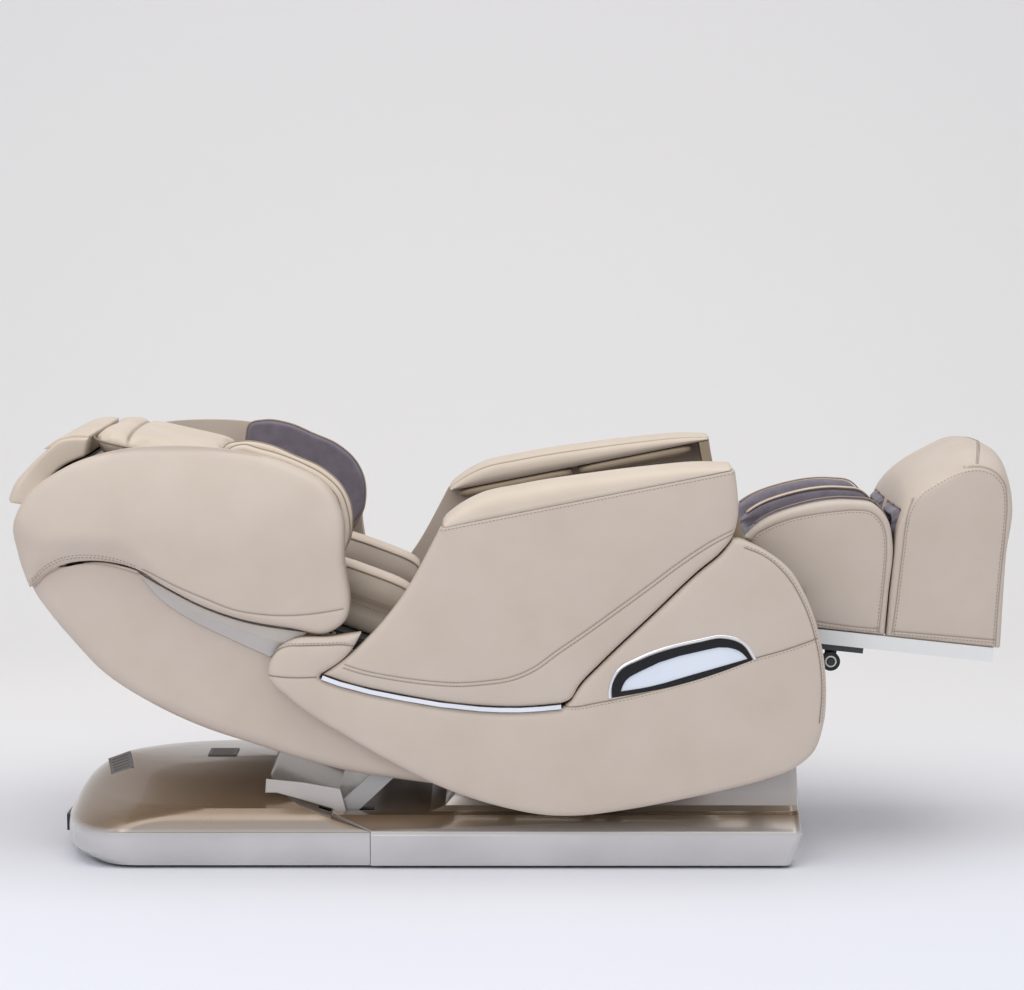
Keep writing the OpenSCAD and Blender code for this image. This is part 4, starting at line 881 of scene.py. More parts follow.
def cushion(long, wide, thick, crown, soft, ends, grooves=(), deep=0.0, breadth=1.0, lift=((0, 0), (1, 0)),
            stations=72, around=56):
    """Superellipse cushion from x = 0 to long, standing on z = 0.

    Rings run along x; each is a rounded square, crowned on top, lifted by a table of (share of the
    length, rise) and pulled in by a bell curve at each groove. Both ends close in a rounded point."""
    phi = np.linspace(0, np.pi, stations + 1)
    x = long / 2 * (1 - squared(np.cos(phi), ends))
    half = wide / 2 * np.abs(np.sin(phi)) ** (2 / ends)
    tall = (np.abs(np.sin(phi)) ** (2 / (ends * 0.6)))[:, None]
    a = np.arange(around) / around * 2 * np.pi
    c, s = squared(np.cos(a), soft), squared(np.sin(a), soft)
    groove = sum((deep * np.exp(-((x - g) / breadth) ** 2) for g in grooves), np.zeros_like(x))
    top = (thick + np.interp(x / long, *np.array(lift, float).T) - groove)[:, None]
    middle = thick / 2
    crowned = middle + (top - middle) * tall * s + crown * tall * np.maximum(s, 0) * (1 - c * c) ** 0.8
    return joined(x[:, None], -half[:, None] * c, np.where(s > 0, crowned, middle + middle * tall * s))


def closed_ends(rings):
    """(points, faces) of rings whose first and last have shrunk to a point."""
    return pointed(rings[1:-1], rings[0].mean(0), rings[-1].mean(0))


def at_arm(p):
    """Points of a forearm unit: x along the arm from its rear end, z up from its top seam."""
    return turned(p, -ARM_SLOPE, HIP + cover_top[1])


ARM_MIDDLE = -(HALF_WIDTH - PANEL_THICK + ARM_IN) / 2
cells = []
for x0 in (22, 272):
    cell = cushion(238, 86, 19, 6, soft=3.4, ends=6, stations=40, around=36) * [1, 1, -1]
    cells.append(closed_ends(at_arm(cell + [x0, ARM_MIDDLE, -0.6])))
# The air cells take the leather with the shade inside the arm painted in.
simple("arm_air_cells", two(cells), LEATHER_SHADED, "seat", "leather_light", ("arm_airbags",), 0.8)
tray = cushion(512, 86, 27, 6, soft=3.6, ends=7, grooves=(256,), deep=6, stations=72, around=40)
simple("arm_tray_pads", two([closed_ends(at_arm(tray + [10, ARM_MIDDLE, -164.3]))]), CLOTH_BROWN, "seat",
       "fabric_mauve", ("arm_trays",), 0.7)

# ---------------------------------------------------------------------------
# Seat cushion: sewn cloth over thick foam, with three sewn channels across it.
# It lies on a steel pan.
# ---------------------------------------------------------------------------

SEAT_HEEL = HIP + [56, -32]
SEAT_TILT, BACK_TILT, PILLOW_TILT, KNEE_TILT = np.radians([-18, 20, 12, 6.2])


def at_seat(p):
    """Points of the seat cushion: x forward from its rear end, z up from its pan."""
    return turned(p, SEAT_TILT, SEAT_HEEL)


points, faces = closed_ends(cushion(585, 474, 70, 16, soft=4.2, ends=9, stations=80, around=72,
                                    lift=((0, 6), (0.4, 0), (0.8, 4), (1, 0))))
points, faces = soften("seat_cushion", points, faces, 9.0, 8.0, 6)


def channels(p, at, deep, breadth, floor):
    """(points, shade_mask): points above floor pressed down along lines across x at the given places, and the
    painted shade in those channels.
    """
    d = np.abs(p[:, :1] - np.asarray(at, float)[None])
    high = np.clip((p[:, 2] - floor) / 30, 0, 1)
    press = (deep * np.exp(-(d / breadth) ** 2)).sum(1) * high
    return p - np.stack([0 * press, 0 * press, press], 1), np.exp(-(d / 2.2) ** 2).max(1) * high


points, shade_mask = channels(points, (150, 290, 430), 9, 10, 30)
points[:, 2] = np.maximum(points[:, 2], 0)
simple("seat_cushion_cloth", [(at_seat(points), faces)], CLOTH, "seat", "fabric_mauve", ("seat_cushion",),
       0.7, shade_mask)

# ---------------------------------------------------------------------------
# Back cushion, arms of the back and head pillow. The cushion swells at the
# shoulders and has four sewn channels; the bolsters beside it carry a welt
# along the top and two rows of stitches low down.
# ---------------------------------------------------------------------------


def at_back(p):
    """Points of the backrest: x from its head (negative) to the hip, z up from its bed."""
    return turned(p, BACK_TILT, HIP)


points, faces = closed_ends(cushion(640, 324, 54, 10, soft=4.2, ends=8, stations=84, around=64,
                                    lift=((0, 93), (.18, 95), (.34, 78), (.55, 18), (.7, 0), (1, 0))))
points, faces = soften("back_cushion", points, faces, 8.0, 8.0, 6)
points, shade_mask = channels(points, (130, 260, 400, 520), 10, 11, 30)
simple("back_cushion_cloth", [(at_back(points + [-670, 0, 20]), faces)], CLOTH, "backrest", "fabric_mauve",
       ("back_cushion",), 0.7, shade_mask)

bolster = cushion(580, 57, 119, 3, soft=5.5, ends=12, grooves=(110, 290), deep=7, breadth=6, stations=96)
bolster_at = np.array([-640, -193.5, 21])
FOLD_AT, RUN = 58, np.linspace(25, 555, 90)
fold = 3.2 * np.exp(-((bolster[..., 2] - FOLD_AT) / 5) ** 2)
bolster[..., 1] += fold * np.sign(-bolster[..., 1])
# Painted shade along the fold near the bolster's top.
bolster_fold_shade = np.concatenate([np.exp(-((bolster[1:-1, :, 2] - FOLD_AT) / 2.5) ** 2).ravel(), [0, 0]])
simple("bolster_leather", two([closed_ends(at_back(bolster + bolster_at))]), LEATHER_WARM, "backrest",
       "leather_light", ("side_bolsters",), 0.7, np.tile(bolster_fold_shade, 2))


def ring_line(rings, k, proud=0.0):
    """Line through point k of each ring, leaving out the closed tips, pushed out from the middle."""
    line = rings[3:-3, k]
    return line + unit(line - rings[3:-3].mean(1)) * proud


bolster_welts = [at_back(ring_line(bolster, k, 0.6) + bolster_at) for k in (6, 22)]
simple("bolster_welts", two([tube(w, 1.9) for w in bolster_welts]), PIPING, "backrest", "leather_light")
bolster_rows = [at_back(joined(RUN, -28.9, z) + bolster_at) for z in (66, 50)]
stitches("bolster_stitches", mirrored(bolster_rows), "backrest", "leather_light")


def at_pillow(p):
    """Points of the head pillow: x towards the hip from its head end, z up from its underside."""
    return turned(p, PILLOW_TILT, HIP + [-635, 403])


pillow = cushion(262, 400, 40, 8, soft=4, ends=6, lift=((0, -4), (0.2, 2), (1, 0)), stations=64, around=64)
points, faces = closed_ends(pillow)
points, faces = soften("head_pillow", points, faces, 10.0, 6.0, 4)
points, shade_mask = channels(points, (70,), 7, 9, 22)
simple("head_pillow_leather", [(at_pillow(points), faces)], LEATHER_WARM, "backrest", "leather_light",
       ("head_pillow",), 0.7, shade_mask)
welt = np.concatenate([pillow[2:-2, 0], pillow[2:-2, 32][::-1]]) + [-131, 0, 9]
welt = welt * [1.018, 1.012, 1] + [131, 0, 0]
welt = tube(at_pillow(evenly(welt, 5.0)), 2.2, closed=True)
simple("pillow_welt", [welt], PIPING, "backrest", "leather_light")

# ---------------------------------------------------------------------------
# Shields over the sides of the back: one broad panel each, leaning in towards
# the top, its lower rear edge sinking flush into the shell below it.
# ---------------------------------------------------------------------------

SHELL_HALF, SHIELD_OUT, SHIELD_IN = 322.0, 363.0, 293.0
shield_low = [[-725, 166, 1], [-694, 193], [-661, 209], [-617, 216], [-571, 213], [-521, 200], [-470, 170],
              [-405, 136], [-332, 110], [-240, 93], [-170, 84]]
shield_rest = [[-143, 101], [-141, 222], [-146, 305], [-173, 355], [-237, 391], [-347, 420], [-457, 428],
               [-586, 415], [-660, 388], [-731, 333], [-752, 284], [-745, 226]]
shield_outline = curve([*shield_low, *shield_rest], 10)
shield_seam = drawn([[-512, 203], [-497, 197], [-451, 174], [-391, 148], [-345, 130], [-295, 121],
                     [-230, 119], [-174, 125], [-141, 131]])
arc = drawn([[-752, 160], [-723, 168], [-694, 194], [-661, 210], [-624, 215], [-583, 212], [-546, 203],
             [-524, 195]])
shield_plan = plan(shield_outline, [shield_seam], step=9.0)


def eased(t):
    """Smooth step from 0 to 1."""
    t = np.clip(t, 0, 1)
    return t * t * (3 - 2 * t)


def shield_height(flat, d):
    """Swell less the rolled rim: 16 mm wide and 18 deep, widening to 90 by 38 above the arc."""
    near_arc = eased((-470 - flat[:, 0]) / 110) * eased((300 - flat[:, 1]) / 70)
    width, deep = 16 + 84 * near_arc, 18 + 20 * near_arc
    t = np.clip(d / width, 0, 1)
    roll = -deep * (1 - np.sqrt(np.maximum(1 - (1 - t) ** 2.2, 0)))
    lean = -58 * np.clip((flat[:, 1] - 215) / 205, 0, 1) ** 2
    return np.maximum(roll + lean, -60) + stitched(flat, [shield_seam], 1.6, 2.2)[0]


points, faces = slab(shield_plan, HIP, lambda f, d: -SHIELD_OUT - shield_height(f, d),
                     lambda f, d: -SHIELD_IN)
shade_mask = np.tile(stitched(shield_plan[0], [shield_seam])[1] * 0.8, 2)
both_sides("shield_leather", points, faces, shade_mask, LEATHER_SIDE, "backrest", "leather_beige", "side_shield")


arc_rows = [on_face(arc + [0, rise], shield_height, shield_plan[3], half=SHIELD_OUT) for rise in (9, 14)]
stitches("shield_stitches", mirrored(arc_rows), "backrest", "leather_beige")

# ---------------------------------------------------------------------------
# Shoulder pads inside the shields: three leather layers with a welt between
# each pair, the innermost faced in cloth towards the sitter.
# ---------------------------------------------------------------------------

pad_hidden = [[-240, 190], [-330, 230], [-366, 300]]
pad_layers = [
    (292.6, 273.0, [[-366, 384], [-352, 404], [-317, 409], [-271, 396], [-224, 378], [-183, 355], [-159, 333],
                    [-148, 297], [-145, 250], [-150, 216]]),
    (272.8, 253.2, [[-370, 392], [-360, 416], [-331, 426], [-305, 419], [-263, 407], [-217, 388], [-179, 366],
                    [-151, 337], [-138, 300], [-135, 256], [-147, 222]]),
    (253.0, 241.0, [[-374, 396], [-368, 422], [-335, 431], [-284, 424], [-237, 404], [-185, 380], [-150, 348],
                    [-134, 316], [-130, 273], [-136, 243], [-148, 224]])]
layer_parts, welt_parts = [], []
for outer_y, inner_y, shape in pad_layers:
    layout = plan(curve([*pad_hidden, *shape]), step=11.0, rim=8.0, edge_step=5.0)
    layer_parts.append(slab(layout, HIP, lambda f, d: -outer_y - rounded(d, 8),
                            lambda f, d: -inner_y + rounded(d, 5)))
    welt_parts.append(tube(raised(layout[3], -inner_y), 1.9, closed=True))
facing = inset(evenly(curve([*pad_hidden, *pad_layers[-1][2]]), 6.0), 2.0)
face_part = slab(plan(facing, step=14.0, rim=9.0, edge_step=6.0), HIP, lambda f, d: -240.8,
                 lambda f, d: -232.9 + rounded(d, 7))
both_sides("shoulder_layers", *merged(layer_parts), None, LEATHER_WARM, "backrest", "leather_light",
           "shoulder_pad", 0.6)
simple("shoulder_facings", two([face_part]), CLOTH, "backrest", "fabric_mauve")
simple("shoulder_welts", two(welt_parts), PIPING, "backrest", "leather_light")

# ---------------------------------------------------------------------------
# Shell under the back: an open tub of padded board, 7 mm thick, its long edges
# rounded to 26 mm, with slots for the lifting struts.
# ---------------------------------------------------------------------------

shell_low = [[-736, 195], [-724, 161], [-693, 114], [-646, 57], [-601, 8], [-503, -58], [-415, -100],
             [-303, -138], [-209, -168], [-133, -187], [-39, -202]]
shell_front = [[36, -212, 1], [64, -192, 1], [10, -150], [-60, -62], [-120, 40], [-160, 76]]
shell_outline = curve([*shell_low, *shell_front, *[[x, z - 5] for x, z in shield_low[:1:-1]]], 10)
SHELL_EDGE, SHELL_WALL, WELD_GAP = 26.0, 7, 0.02
shell_arc = [arc - [0, 5]]
shell_plan = plan(shell_outline, shell_arc, step=11.0, rim=SHELL_EDGE)


def drum(layout, origin, face, rows, form=None, keep=None):
    """Two mirrored faces over a plan and the band between their rims.

    face gives the distance from the middle at (x, z, distance from the rim); rows are the band's places
    across, as shares of the rim's own distance; form moves all points; keep says which band quads stay."""
    flat, tris, loops, loop = layout
    y = face(flat, reach(flat, loop))
    near = raised(flat, -y, (0, 0))
    ring = flat[loops[0]]
    band = joined(ring[:, 0], np.asarray(rows)[:, None] * y[loops[0]], ring[:, 1])
    quads = grid_faces(len(rows), len(ring), True)
    if keep is not None:
        quads = quads[keep(band.reshape(-1, 3)[quads].mean(1))]
    points = np.concatenate([near, near * [1, -1, 1], band.reshape(-1, 3)])
    n = len(flat)
    faces = [list(t) for t in tris] + [list(t[::-1] + n) for t in tris] + (quads + 2 * n).tolist()
    if form is not None:
        points = form(points)
    return points + [origin[0], 0, origin[1]], faces


def belly(m):
    """Quads of the shell's underside: none along the open top, nor in the four strut slots."""
    top = np.array([q[:2] for q in shield_low[1:]]) - [0, 5]
    open_top = (reach(m[:, [0, 2]], top, closed=False) < 3) | ((m[:, 0] > -160) & (m[:, 2] > -150))
    slot = (np.abs(np.abs(m[:, 1]) - STRUT_Y) < 14) & (m[:, 0] > -150) & (m[:, 0] < 90) & (m[:, 2] < -60)
    return ~open_top & ~slot


STRUT_Y, SHELL_RIM = 268, SHELL_HALF - SHELL_EDGE
strut_edges = np.linspace(STRUT_Y - 14, STRUT_Y + 14, 4) / SHELL_RIM
across = np.concatenate([[-1], -strut_edges[::-1], np.linspace(-220, 220, 12) / SHELL_RIM, strut_edges, [1]])
tub_edge = curve([[-760, 250], *shell_low, [36, -212, 1], [64, -192, 1]], 8, closed=False)


def tub(flat, d):
    """Half width of the shell: rolled along its underside, nearly square along its open top."""
    below = reach(flat, tub_edge, closed=False)
    return SHELL_HALF + rounded(below, SHELL_EDGE) + stitched(flat, shell_arc, 1.2)[0]


def drum_painted_shade(layout, seams, share, count):
    """Painted shade of the seams on the two faces of a drum of count points, none on its band."""
    both = np.tile(stitched(layout[0], seams)[1] * share, 2)
    return np.concatenate([both, np.zeros(count - len(both))])


def walled(piece, thick):
    """Gives an open sheet a wall on its inner side."""
    wall = piece.modifiers.new("wall", "SOLIDIFY")
    wall.thickness, wall.offset = thick * MM, -1


points, faces = drum(shell_plan, HIP, tub, across, keep=belly)
shell = new_mesh("back_shell_leather", points, faces)
store_painted_shade(shell, drum_painted_shade(shell_plan, shell_arc, 0.5, len(points)))
outward(shell, WELD_GAP)
walled(shell, SHELL_WALL)
fit(shell, LEATHER_SIDE, "backrest", "leather_beige", ("back_shell",))

shell_mid = [[-749.6, 307.7, 1], [-752, 245], [-732, 197], [-714, 164, 1], [-703, 170, 1], [-700, 260],
             [-711.6, 351.7, 1]]
mid_plan = plan(curve(shell_mid, 10), step=9.0, rim=4.0, edge_step=5.0)
shell_head = drum(mid_plan, HIP, lambda f, d: 292.6 + rounded(d, 3), np.linspace(-1, 1, 25))
simple("shell_head_leather", [shell_head], LEATHER_SIDE, "backrest", "leather_beige")

trim_outline = [[-524, 196, 1], [-482, 144], [-427, 106], [-353, 69], [-279, 35, 1], [-204, 83, 1],
                [-240, 87], [-332, 104], [-405, 130], [-470, 164]]
trim_ridge = drawn([[-524, 196], [-478, 156], [-420, 122], [-350, 94], [-290, 72], [-238, 60]])
trim_plan = plan(curve(trim_outline, 10), [trim_ridge], step=7.0, rim=3.0)
TRIM = finish("trim_silver", (0.47, 0.43, 0.40), (0.56, 0.52, 0.49), "speckle", 0.34, 0.08, Metallic=0.55)


def trim_face(flat, d):
    """Outer face of the trim, falling away from its ridge at 0.16 in 1."""
    return -333.6 + 0.16 * np.minimum(reach(flat, trim_ridge, closed=False), 55) - rounded(d, 2.0)


spear = slab(trim_plan, HIP, trim_face, lambda f, d: -SHELL_HALF - 0.4)
simple("spear_trim_faces", two([spear]), TRIM, "backrest", "trim_silver", ("spear_trims",))

# ---------------------------------------------------------------------------
# Hood: a stiff leather flap over the head end, down from under the pillow to
# its tip, with a second layer folded back over its top and a cloth lining.
# ---------------------------------------------------------------------------

flap_outline = [[-750, 308, 1], [-712, 352, 1], [-683, 378], [-637, 400, 1], [-629, 434, 1], [-682, 430],
                [-711, 412], [-762, 366], [-782, 342], [-793, 316, 1]]
flap_plan = plan(curve(flap_outline, 10), step=7.0, rim=6.0)


def hooded(p):
    """Rounds the flap's corners in plan: its tip sweeps back 16 mm and drops 5 towards each end."""
    far = np.clip((np.abs(p[:, 1]) - 120) / 95, 0, 1) ** 2
    tip = np.clip((-690 - p[:, 0]) / 100, 0, 1)
    return p + np.stack([16 * far * tip, 0 * far, -5 * far * tip], 1)


flap = drum(flap_plan, HIP, lambda f, d: 215 + rounded(d, 6), np.linspace(-1, 1, 41), hooded)
simple("head_flap_leather", [flap], LEATHER_WARM, "backrest", "leather_light", ("head_flap",), 0.7)
layer = [[-716, 412, 1], [-690, 431], [-640, 441], [-628, 439, 1], [-629, 431, 1], [-682, 426],
         [-700, 415, 1]]
layer_plan = plan(curve(layer, 10), step=4.0, rim=2.0, edge_step=3.0)
simple("head_flap_layer", [drum(layer_plan, HIP, lambda f, d: 204 + rounded(d, 3), np.linspace(-1, 1, 41))],
       LEATHER_WARM, "backrest", "leather_light")
lining = [[-742, 310, 1], [-708, 350], [-683, 372], [-640, 394, 1], [-640, 388, 1], [-680, 364], [-702, 342],
          [-734, 308, 1]]
lining_plan = plan(curve(lining, 8), step=5.0, rim=2.0, edge_step=4.0)
simple("head_flap_lining", [drum(lining_plan, HIP, lambda f, d: 206 + rounded(d, 2), np.linspace(-1, 1, 31))],
       CLOTH, "backrest", "fabric_mauve")

# ---------------------------------------------------------------------------
# Speaker grilles: pale plastic discs with concentric rings inside the shields.
# ---------------------------------------------------------------------------

PALE_PLASTIC = finish("plastic_pale", (0.66, 0.66, 0.66), (0.76, 0.76, 0.76), "speckle", 0.42, 0.15)


def circle(centre, y, radius, count):
    """Points round a circle that faces sideways at y."""
    turn = np.linspace(0, 2 * np.pi, count + 1)[:-1]
    return joined(centre[0] + radius * np.cos(turn), y, centre[1] + radius * np.sin(turn))


rings = [tube(circle(HIP + [-440, 368], -288.6, radius, 48), 1.5, closed=True) for radius in (28, 22, 16, 10)]
simple("speaker_rings", two(rings), PALE_PLASTIC, "backrest", "trim_silver")

# ---------------------------------------------------------------------------
# Calf unit: two padded side panels with a seam run inside their rim, and two
# cloth channels between them, parted by a leather-topped divider.
# ---------------------------------------------------------------------------

LEG_HALF, LEG_WALL, LEG_EDGE, HUB = 225.0, 36.0, 9, 24.05
calf_outline = [[52, -48.7, 1], [187, -48.7, 1], [185, 31], [180, 134], [168, 169], [138, 197], [98, 199],
                [4, 178], [-73, 136], [-98, 108, 1]]


def at_knee(p):
    """Points of the calf and foot units: x along the leg from the knee shaft, z up from it."""
    return turned(p, KNEE_TILT, KNEE)


calf_loop = evenly(curve(calf_outline, 12), 3.5)
calf_loop = calf_loop * np.maximum(1, HUB / np.linalg.norm(calf_loop, axis=1))[:, None]
calf_seam = drawn([[-88, 98], [-80, 114], [-59, 131], [-19, 152], [27, 167], [69, 177], [101, 183],
                   [133, 182], [152, 169], [164, 147], [170, 115], [173, 67], [174, 19], [175, -44]])
calf_low = drawn([[56, -36], [100, -38], [148, -38], [175, -37]])
calf_seams = [calf_seam, calf_low]
calf_plan = plan(calf_loop, calf_seams, step=9.0, rim=LEG_EDGE, edge_step=None)


def calf_height(flat, d):
    """Rolled edge, 4 mm of swell and the seams of a calf panel."""
    return rounded(d, LEG_EDGE) + swell(d, 4, 4, 30) + stitched(flat, calf_seams, 1.4, 2)[0]


points, faces = slab(calf_plan, (0, 0), lambda f, d: -LEG_HALF - calf_height(f, d),
                     lambda f, d: LEG_WALL - LEG_HALF)
simple("calf_panel_leather", two([(at_knee(points), faces)]), LEATHER_SIDE, "legrest", "leather_beige",
       ("calf_panels",), 0.6, np.tile(stitched(calf_plan[0], calf_seams)[1] * 0.7, 4))


def on_leg(line, height, offset, half):
    """Path on the right-hand side of a leg unit beside a seam, well inside the rim."""
    flat = beside(evenly(line, 4.0, closed=False), offset)
    return at_knee(raised(flat, -half - height(flat, np.full(len(flat), 20.0)) - THREAD_PROUD, (0, 0)))


calf_rows = [on_leg(calf_seam, calf_height, -4, LEG_HALF), on_leg(calf_low, calf_height, -5, LEG_HALF)]
stitches("calf_stitches", mirrored(calf_rows), "legrest", "leather_beige")

LINING_OUT = LEG_HALF - LEG_WALL - 0.3
half_section = drawn([[0, 188], [9, 187.5], [16, 184], [20, 174], [23, 120], [27, 70], [36, 42], [58, 29],
                      [84, 27], [112, 32], [132, 48], [142, 84], [149, 140], [154, 170], [163, 183],
                      [176, 187], [186, 183], [188.4, 176]], 4)
section = np.concatenate([half_section[::-1] * [-1, 1], half_section[1:]])
calf_top = curve(calf_outline, 12)
upper_run = calf_top[np.argmax(calf_top[:, 0]):]
upper_run = upper_run[upper_run[:, 1] > 100][::-1]
stations = np.concatenate([np.linspace(-88, 160, 50), np.linspace(164, 180, 8)])
upper_x = np.maximum.accumulate(upper_run[:, 0] + 1e-3 * np.arange(len(upper_run)))
top_z = np.interp(stations, upper_x, upper_run[:, 1]) + 1
low_z = np.maximum(-11.5, 108 - (stations + 98) * 156.7 / 150 + 3)
share = (188 - section[:, 1]) / 161
depth = np.minimum(top_z - 27, top_z - low_z - 10)
wrinkle = 1.2 * np.sin(stations[:, None] / 11.0 + section[:, 0] / 19) * np.sin(np.pi * np.clip(share, 0, 1))
under_y = np.linspace(LINING_OUT - 0.3, -LINING_OUT + 0.3, 14)
cloth_z = top_z[:, None] - depth[:, None] * share + wrinkle
rings = np.concatenate([joined(stations[:, None], section[:, 0], cloth_z),
                        joined(stations[:, None], under_y, low_z[:, None])], 1)
simple("calf_channel_cloth", [capped(at_knee(rings))], CLOTH, "legrest", "fabric_mauve", ("calf_lining",),
       0.6)
strip_x = np.linspace(-80, 176, 60)
strip_z = np.interp(strip_x, stations, top_z)
band = [[-12, 0.5], [-11, 3.2], [-6, 4.2], [0, 4.6], [6, 4.2], [11, 3.2], [12, 0.5], [6, -1], [-6, -1]]
rings = np.stack([joined(strip_x, y, strip_z + z) for y, z in band], 1)
simple("calf_divider_leather", [capped(at_knee(rings))], LEATHER_WARM, "legrest", "leather_light")
welts = [tube(at_knee(joined(strip_x, y, strip_z + 2.6)), 1.5) for y in (-13, 13, -178, 178)]
simple("calf_welts", welts, PIPING, "legrest", "leather_light")

# ---------------------------------------------------------------------------
# Foot unit: leather over a moulded case whose top and front swell towards the
# middle, one seam round each side and one across the top, cloth socks inside.
# ---------------------------------------------------------------------------

foot_outline = [[191, -50, 1], [408, -50, 1], [397, 120], [391, 238], [366, 279], [322, 289], [272, 263],
                [198, 191], [188, 154], [187, 96]]
foot_seam = drawn([[200, -44], [201, 2], [201, 59], [201, 117], [201, 163], [203, 190], [208, 206],
                   [222, 229], [247, 250], [281, 273], [307, 284], [334, 287], [361, 278], [378, 258],
                   [385, 231], [389, 177], [391, 100], [394, 24], [398, -44]], 8)
foot_low = drawn([[202, -39], [291, -37], [339, -36], [396, -35]])
foot_seams = [foot_seam, foot_low]
foot_plan = plan(curve(foot_outline, 12), foot_seams, step=9.0, rim=LEG_EDGE, edge_step=5.0)


def swollen(p):
    """Top and front pushed out by 1 - |y / 225| ^ 2.6: 35 mm upwards and 11.7 mm forwards at the middle."""
    bell = np.maximum(1 - np.abs(p[:, 1] / LEG_HALF) ** 2.6, 0)
    return p + np.stack([11.7 * bell * np.clip((p[:, 0] - 300) / 80, 0, 1), 0 * bell,
                         35 * bell * np.clip((p[:, 2] - 40) / 160, 0, 1)], 1)


def foot_height(flat, d):
    """Rolled edge, 3 mm of swell and the seams of the foot unit's sides."""
    return rounded(d, LEG_EDGE) + swell(d, 3, 4, 30) + stitched(flat, foot_seams, 1.4, 2)[0]


FOOT_HALF = LEG_HALF - 1
points, faces = drum(foot_plan, (0, 0), lambda f, d: FOOT_HALF + foot_height(f, d),
                     np.linspace(-1, 1, 45), swollen)
foot = new_mesh("foot_cover_leather", at_knee(points), faces)
store_painted_shade(foot, drum_painted_shade(foot_plan, foot_seams, 0.7, len(points)))
outward(foot, WELD_GAP)


def cut(piece, parts, name):
    """Takes closed forms away from a piece, exactly, and removes them from the scene."""
    tool = new_mesh(name, *merged(parts), smooth=False)
    outward(tool)
    work = piece.modifiers.new("cut", "BOOLEAN")
    work.operation, work.solver, work.object, work.use_self = "DIFFERENCE", "EXACT", tool, True
    deps = bpy.context.evaluated_depsgraph_get()
    done = bpy.data.meshes.new_from_object(piece.evaluated_get(deps))
    piece.modifiers.clear()
    piece.data = done
    bpy.data.objects.remove(tool)


WELL_X, WELL_TOP, WELL_FLOOR, WELL_IN = [150, 300, 350, 386], [176, 225, 225, 170], -30, -20
well_roof = zip(WELL_X[::-1], WELL_TOP[::-1])
well = np.array([[WELL_X[0], WELL_FLOOR], [WELL_X[-1], WELL_FLOOR], *well_roof], float)
well_rings = np.stack([raised(well, y, (0, 0)) for y in (-LINING_OUT, WELL_IN)])
cut(foot, two([capped(at_knee(well_rings))]), "foot_wells")
fit(foot, LEATHER_SIDE, "foot", "leather_beige", ("foot_cover",), 0.6)

foot_rows = [on_leg(foot_low, foot_height, -5, FOOT_HALF), on_leg(foot_seam, foot_height, -4, FOOT_HALF)]
half_y = np.linspace(-212, 0, 60)
cross_x = 347 + 25 * half_y / 212
foot_top = curve(foot_outline, 12)
foot_top = foot_top[(foot_top[:, 1] > 255) & (foot_top[:, 0] < 385)]
foot_top = foot_top[np.argsort(foot_top[:, 0])]
cross = swollen(joined(cross_x, half_y, np.interp(cross_x, foot_top[:, 0], foot_top[:, 1])))
cross_rows = [at_knee(cross + [aside, 0, 0.3]) for aside in (2.5, -2.5)]
stitches("foot_stitches", mirrored([*foot_rows, *cross_rows]), "foot", "leather_beige")
simple("foot_cross_fold", two([tube(at_knee(cross), 0.9, 6)]), PIPING, "foot", "leather_beige")


def sock():
    """Cloth lining of one well, drawn as rings from its outer wall round the gathered lip to its toe.

    Each ring is the well's rounded cross-section at x, in by e; folds ruffle the lip."""
    a = np.arange(72) / 72 * 2 * np.pi
    c, s = squared(np.cos(a), 7.0), squared(np.sin(a), 7.0)
    y0, y1 = -LINING_OUT + 0.3, WELL_IN - 0.3
    rows = [(384, 70), (384, 20), (383.4, 0), (300, 0), (212, 0), (200, -0.2), (193, 0.5), (186, 3),
            (181.5, 7), (181, 11), (185, 14.5), (194, 15.5), (215, 13.5), (300, 12.5), (362, 12.5),
            (371, 16), (373.5, 26), (373.5, 72)]
    rings = []
    for x, e in rows:
        top = np.interp(x, WELL_X, WELL_TOP) - 0.5
        half_y, half_z = (y1 - y0) / 2 - e, (top + 29.5) / 2 - e
        lip = np.exp(-((x - 187) / 15) ** 2) * (e > -1)
        ruffle = lip * (2.2 * np.sin(17 * a) + 1.4 * np.sin(29 * a + 1.3)) * (e > 2)
        z = (top - 29.5) / 2 + (half_z - ruffle) * s
        back = np.where(z < 130, np.clip(190.5 - x, 0, 12), 0) * (x < 190.5)
        rings.append(np.stack([x + back, (y0 + y1) / 2 + (half_y - ruffle) * c, z], 1))
    rings = at_knee(np.array(rings))
    return pointed(rings, rings[0].mean(0), rings[-1].mean(0))


simple("foot_lining_cloth", two([sock()]), CLOTH, "foot", "fabric_mauve", ("foot_lining",), 0.5)

# ---------------------------------------------------------------------------
# Covers of the base: silver-grey metallic paint on moulded plastic 4 mm thick, with
# painted shade in bronze where they face up. The rear one is a low hump, the front
# one a tower round the pivots, and two cheeks stand beside the lifting struts.
# ---------------------------------------------------------------------------

BASE_HALF, BASE_REAR, BASE_FRONT, SPLIT = 360.0, -855.0, 547.0, -262.0
COVER_WALL, SKIRT_TOP = 4, 66
# Each row: height, rear inset, front end, side inset, depth and squareness of the rear bow.
hump_rows = [[6, 40, SPLIT, 6, 130, 3], [27, 2, SPLIT, 0, 150, 3], [64, 0, SPLIT, 0, 150, 3],
             [70, 4, SPLIT, 4, 150, 3], [91.6, 13, SPLIT - 76, 18, 200, 2.5],
             [107.6, 26, SPLIT - 126, 35, 260, 2.2], [122, 45, SPLIT - 168, 98, 280, 2.1],
             [137.2, 70, SPLIT - 198, 180, 240, 2],
             [146, 87, SPLIT - 199, 260, 180, 2], [150, 110, SPLIT - 200, 325, 60, 2]]
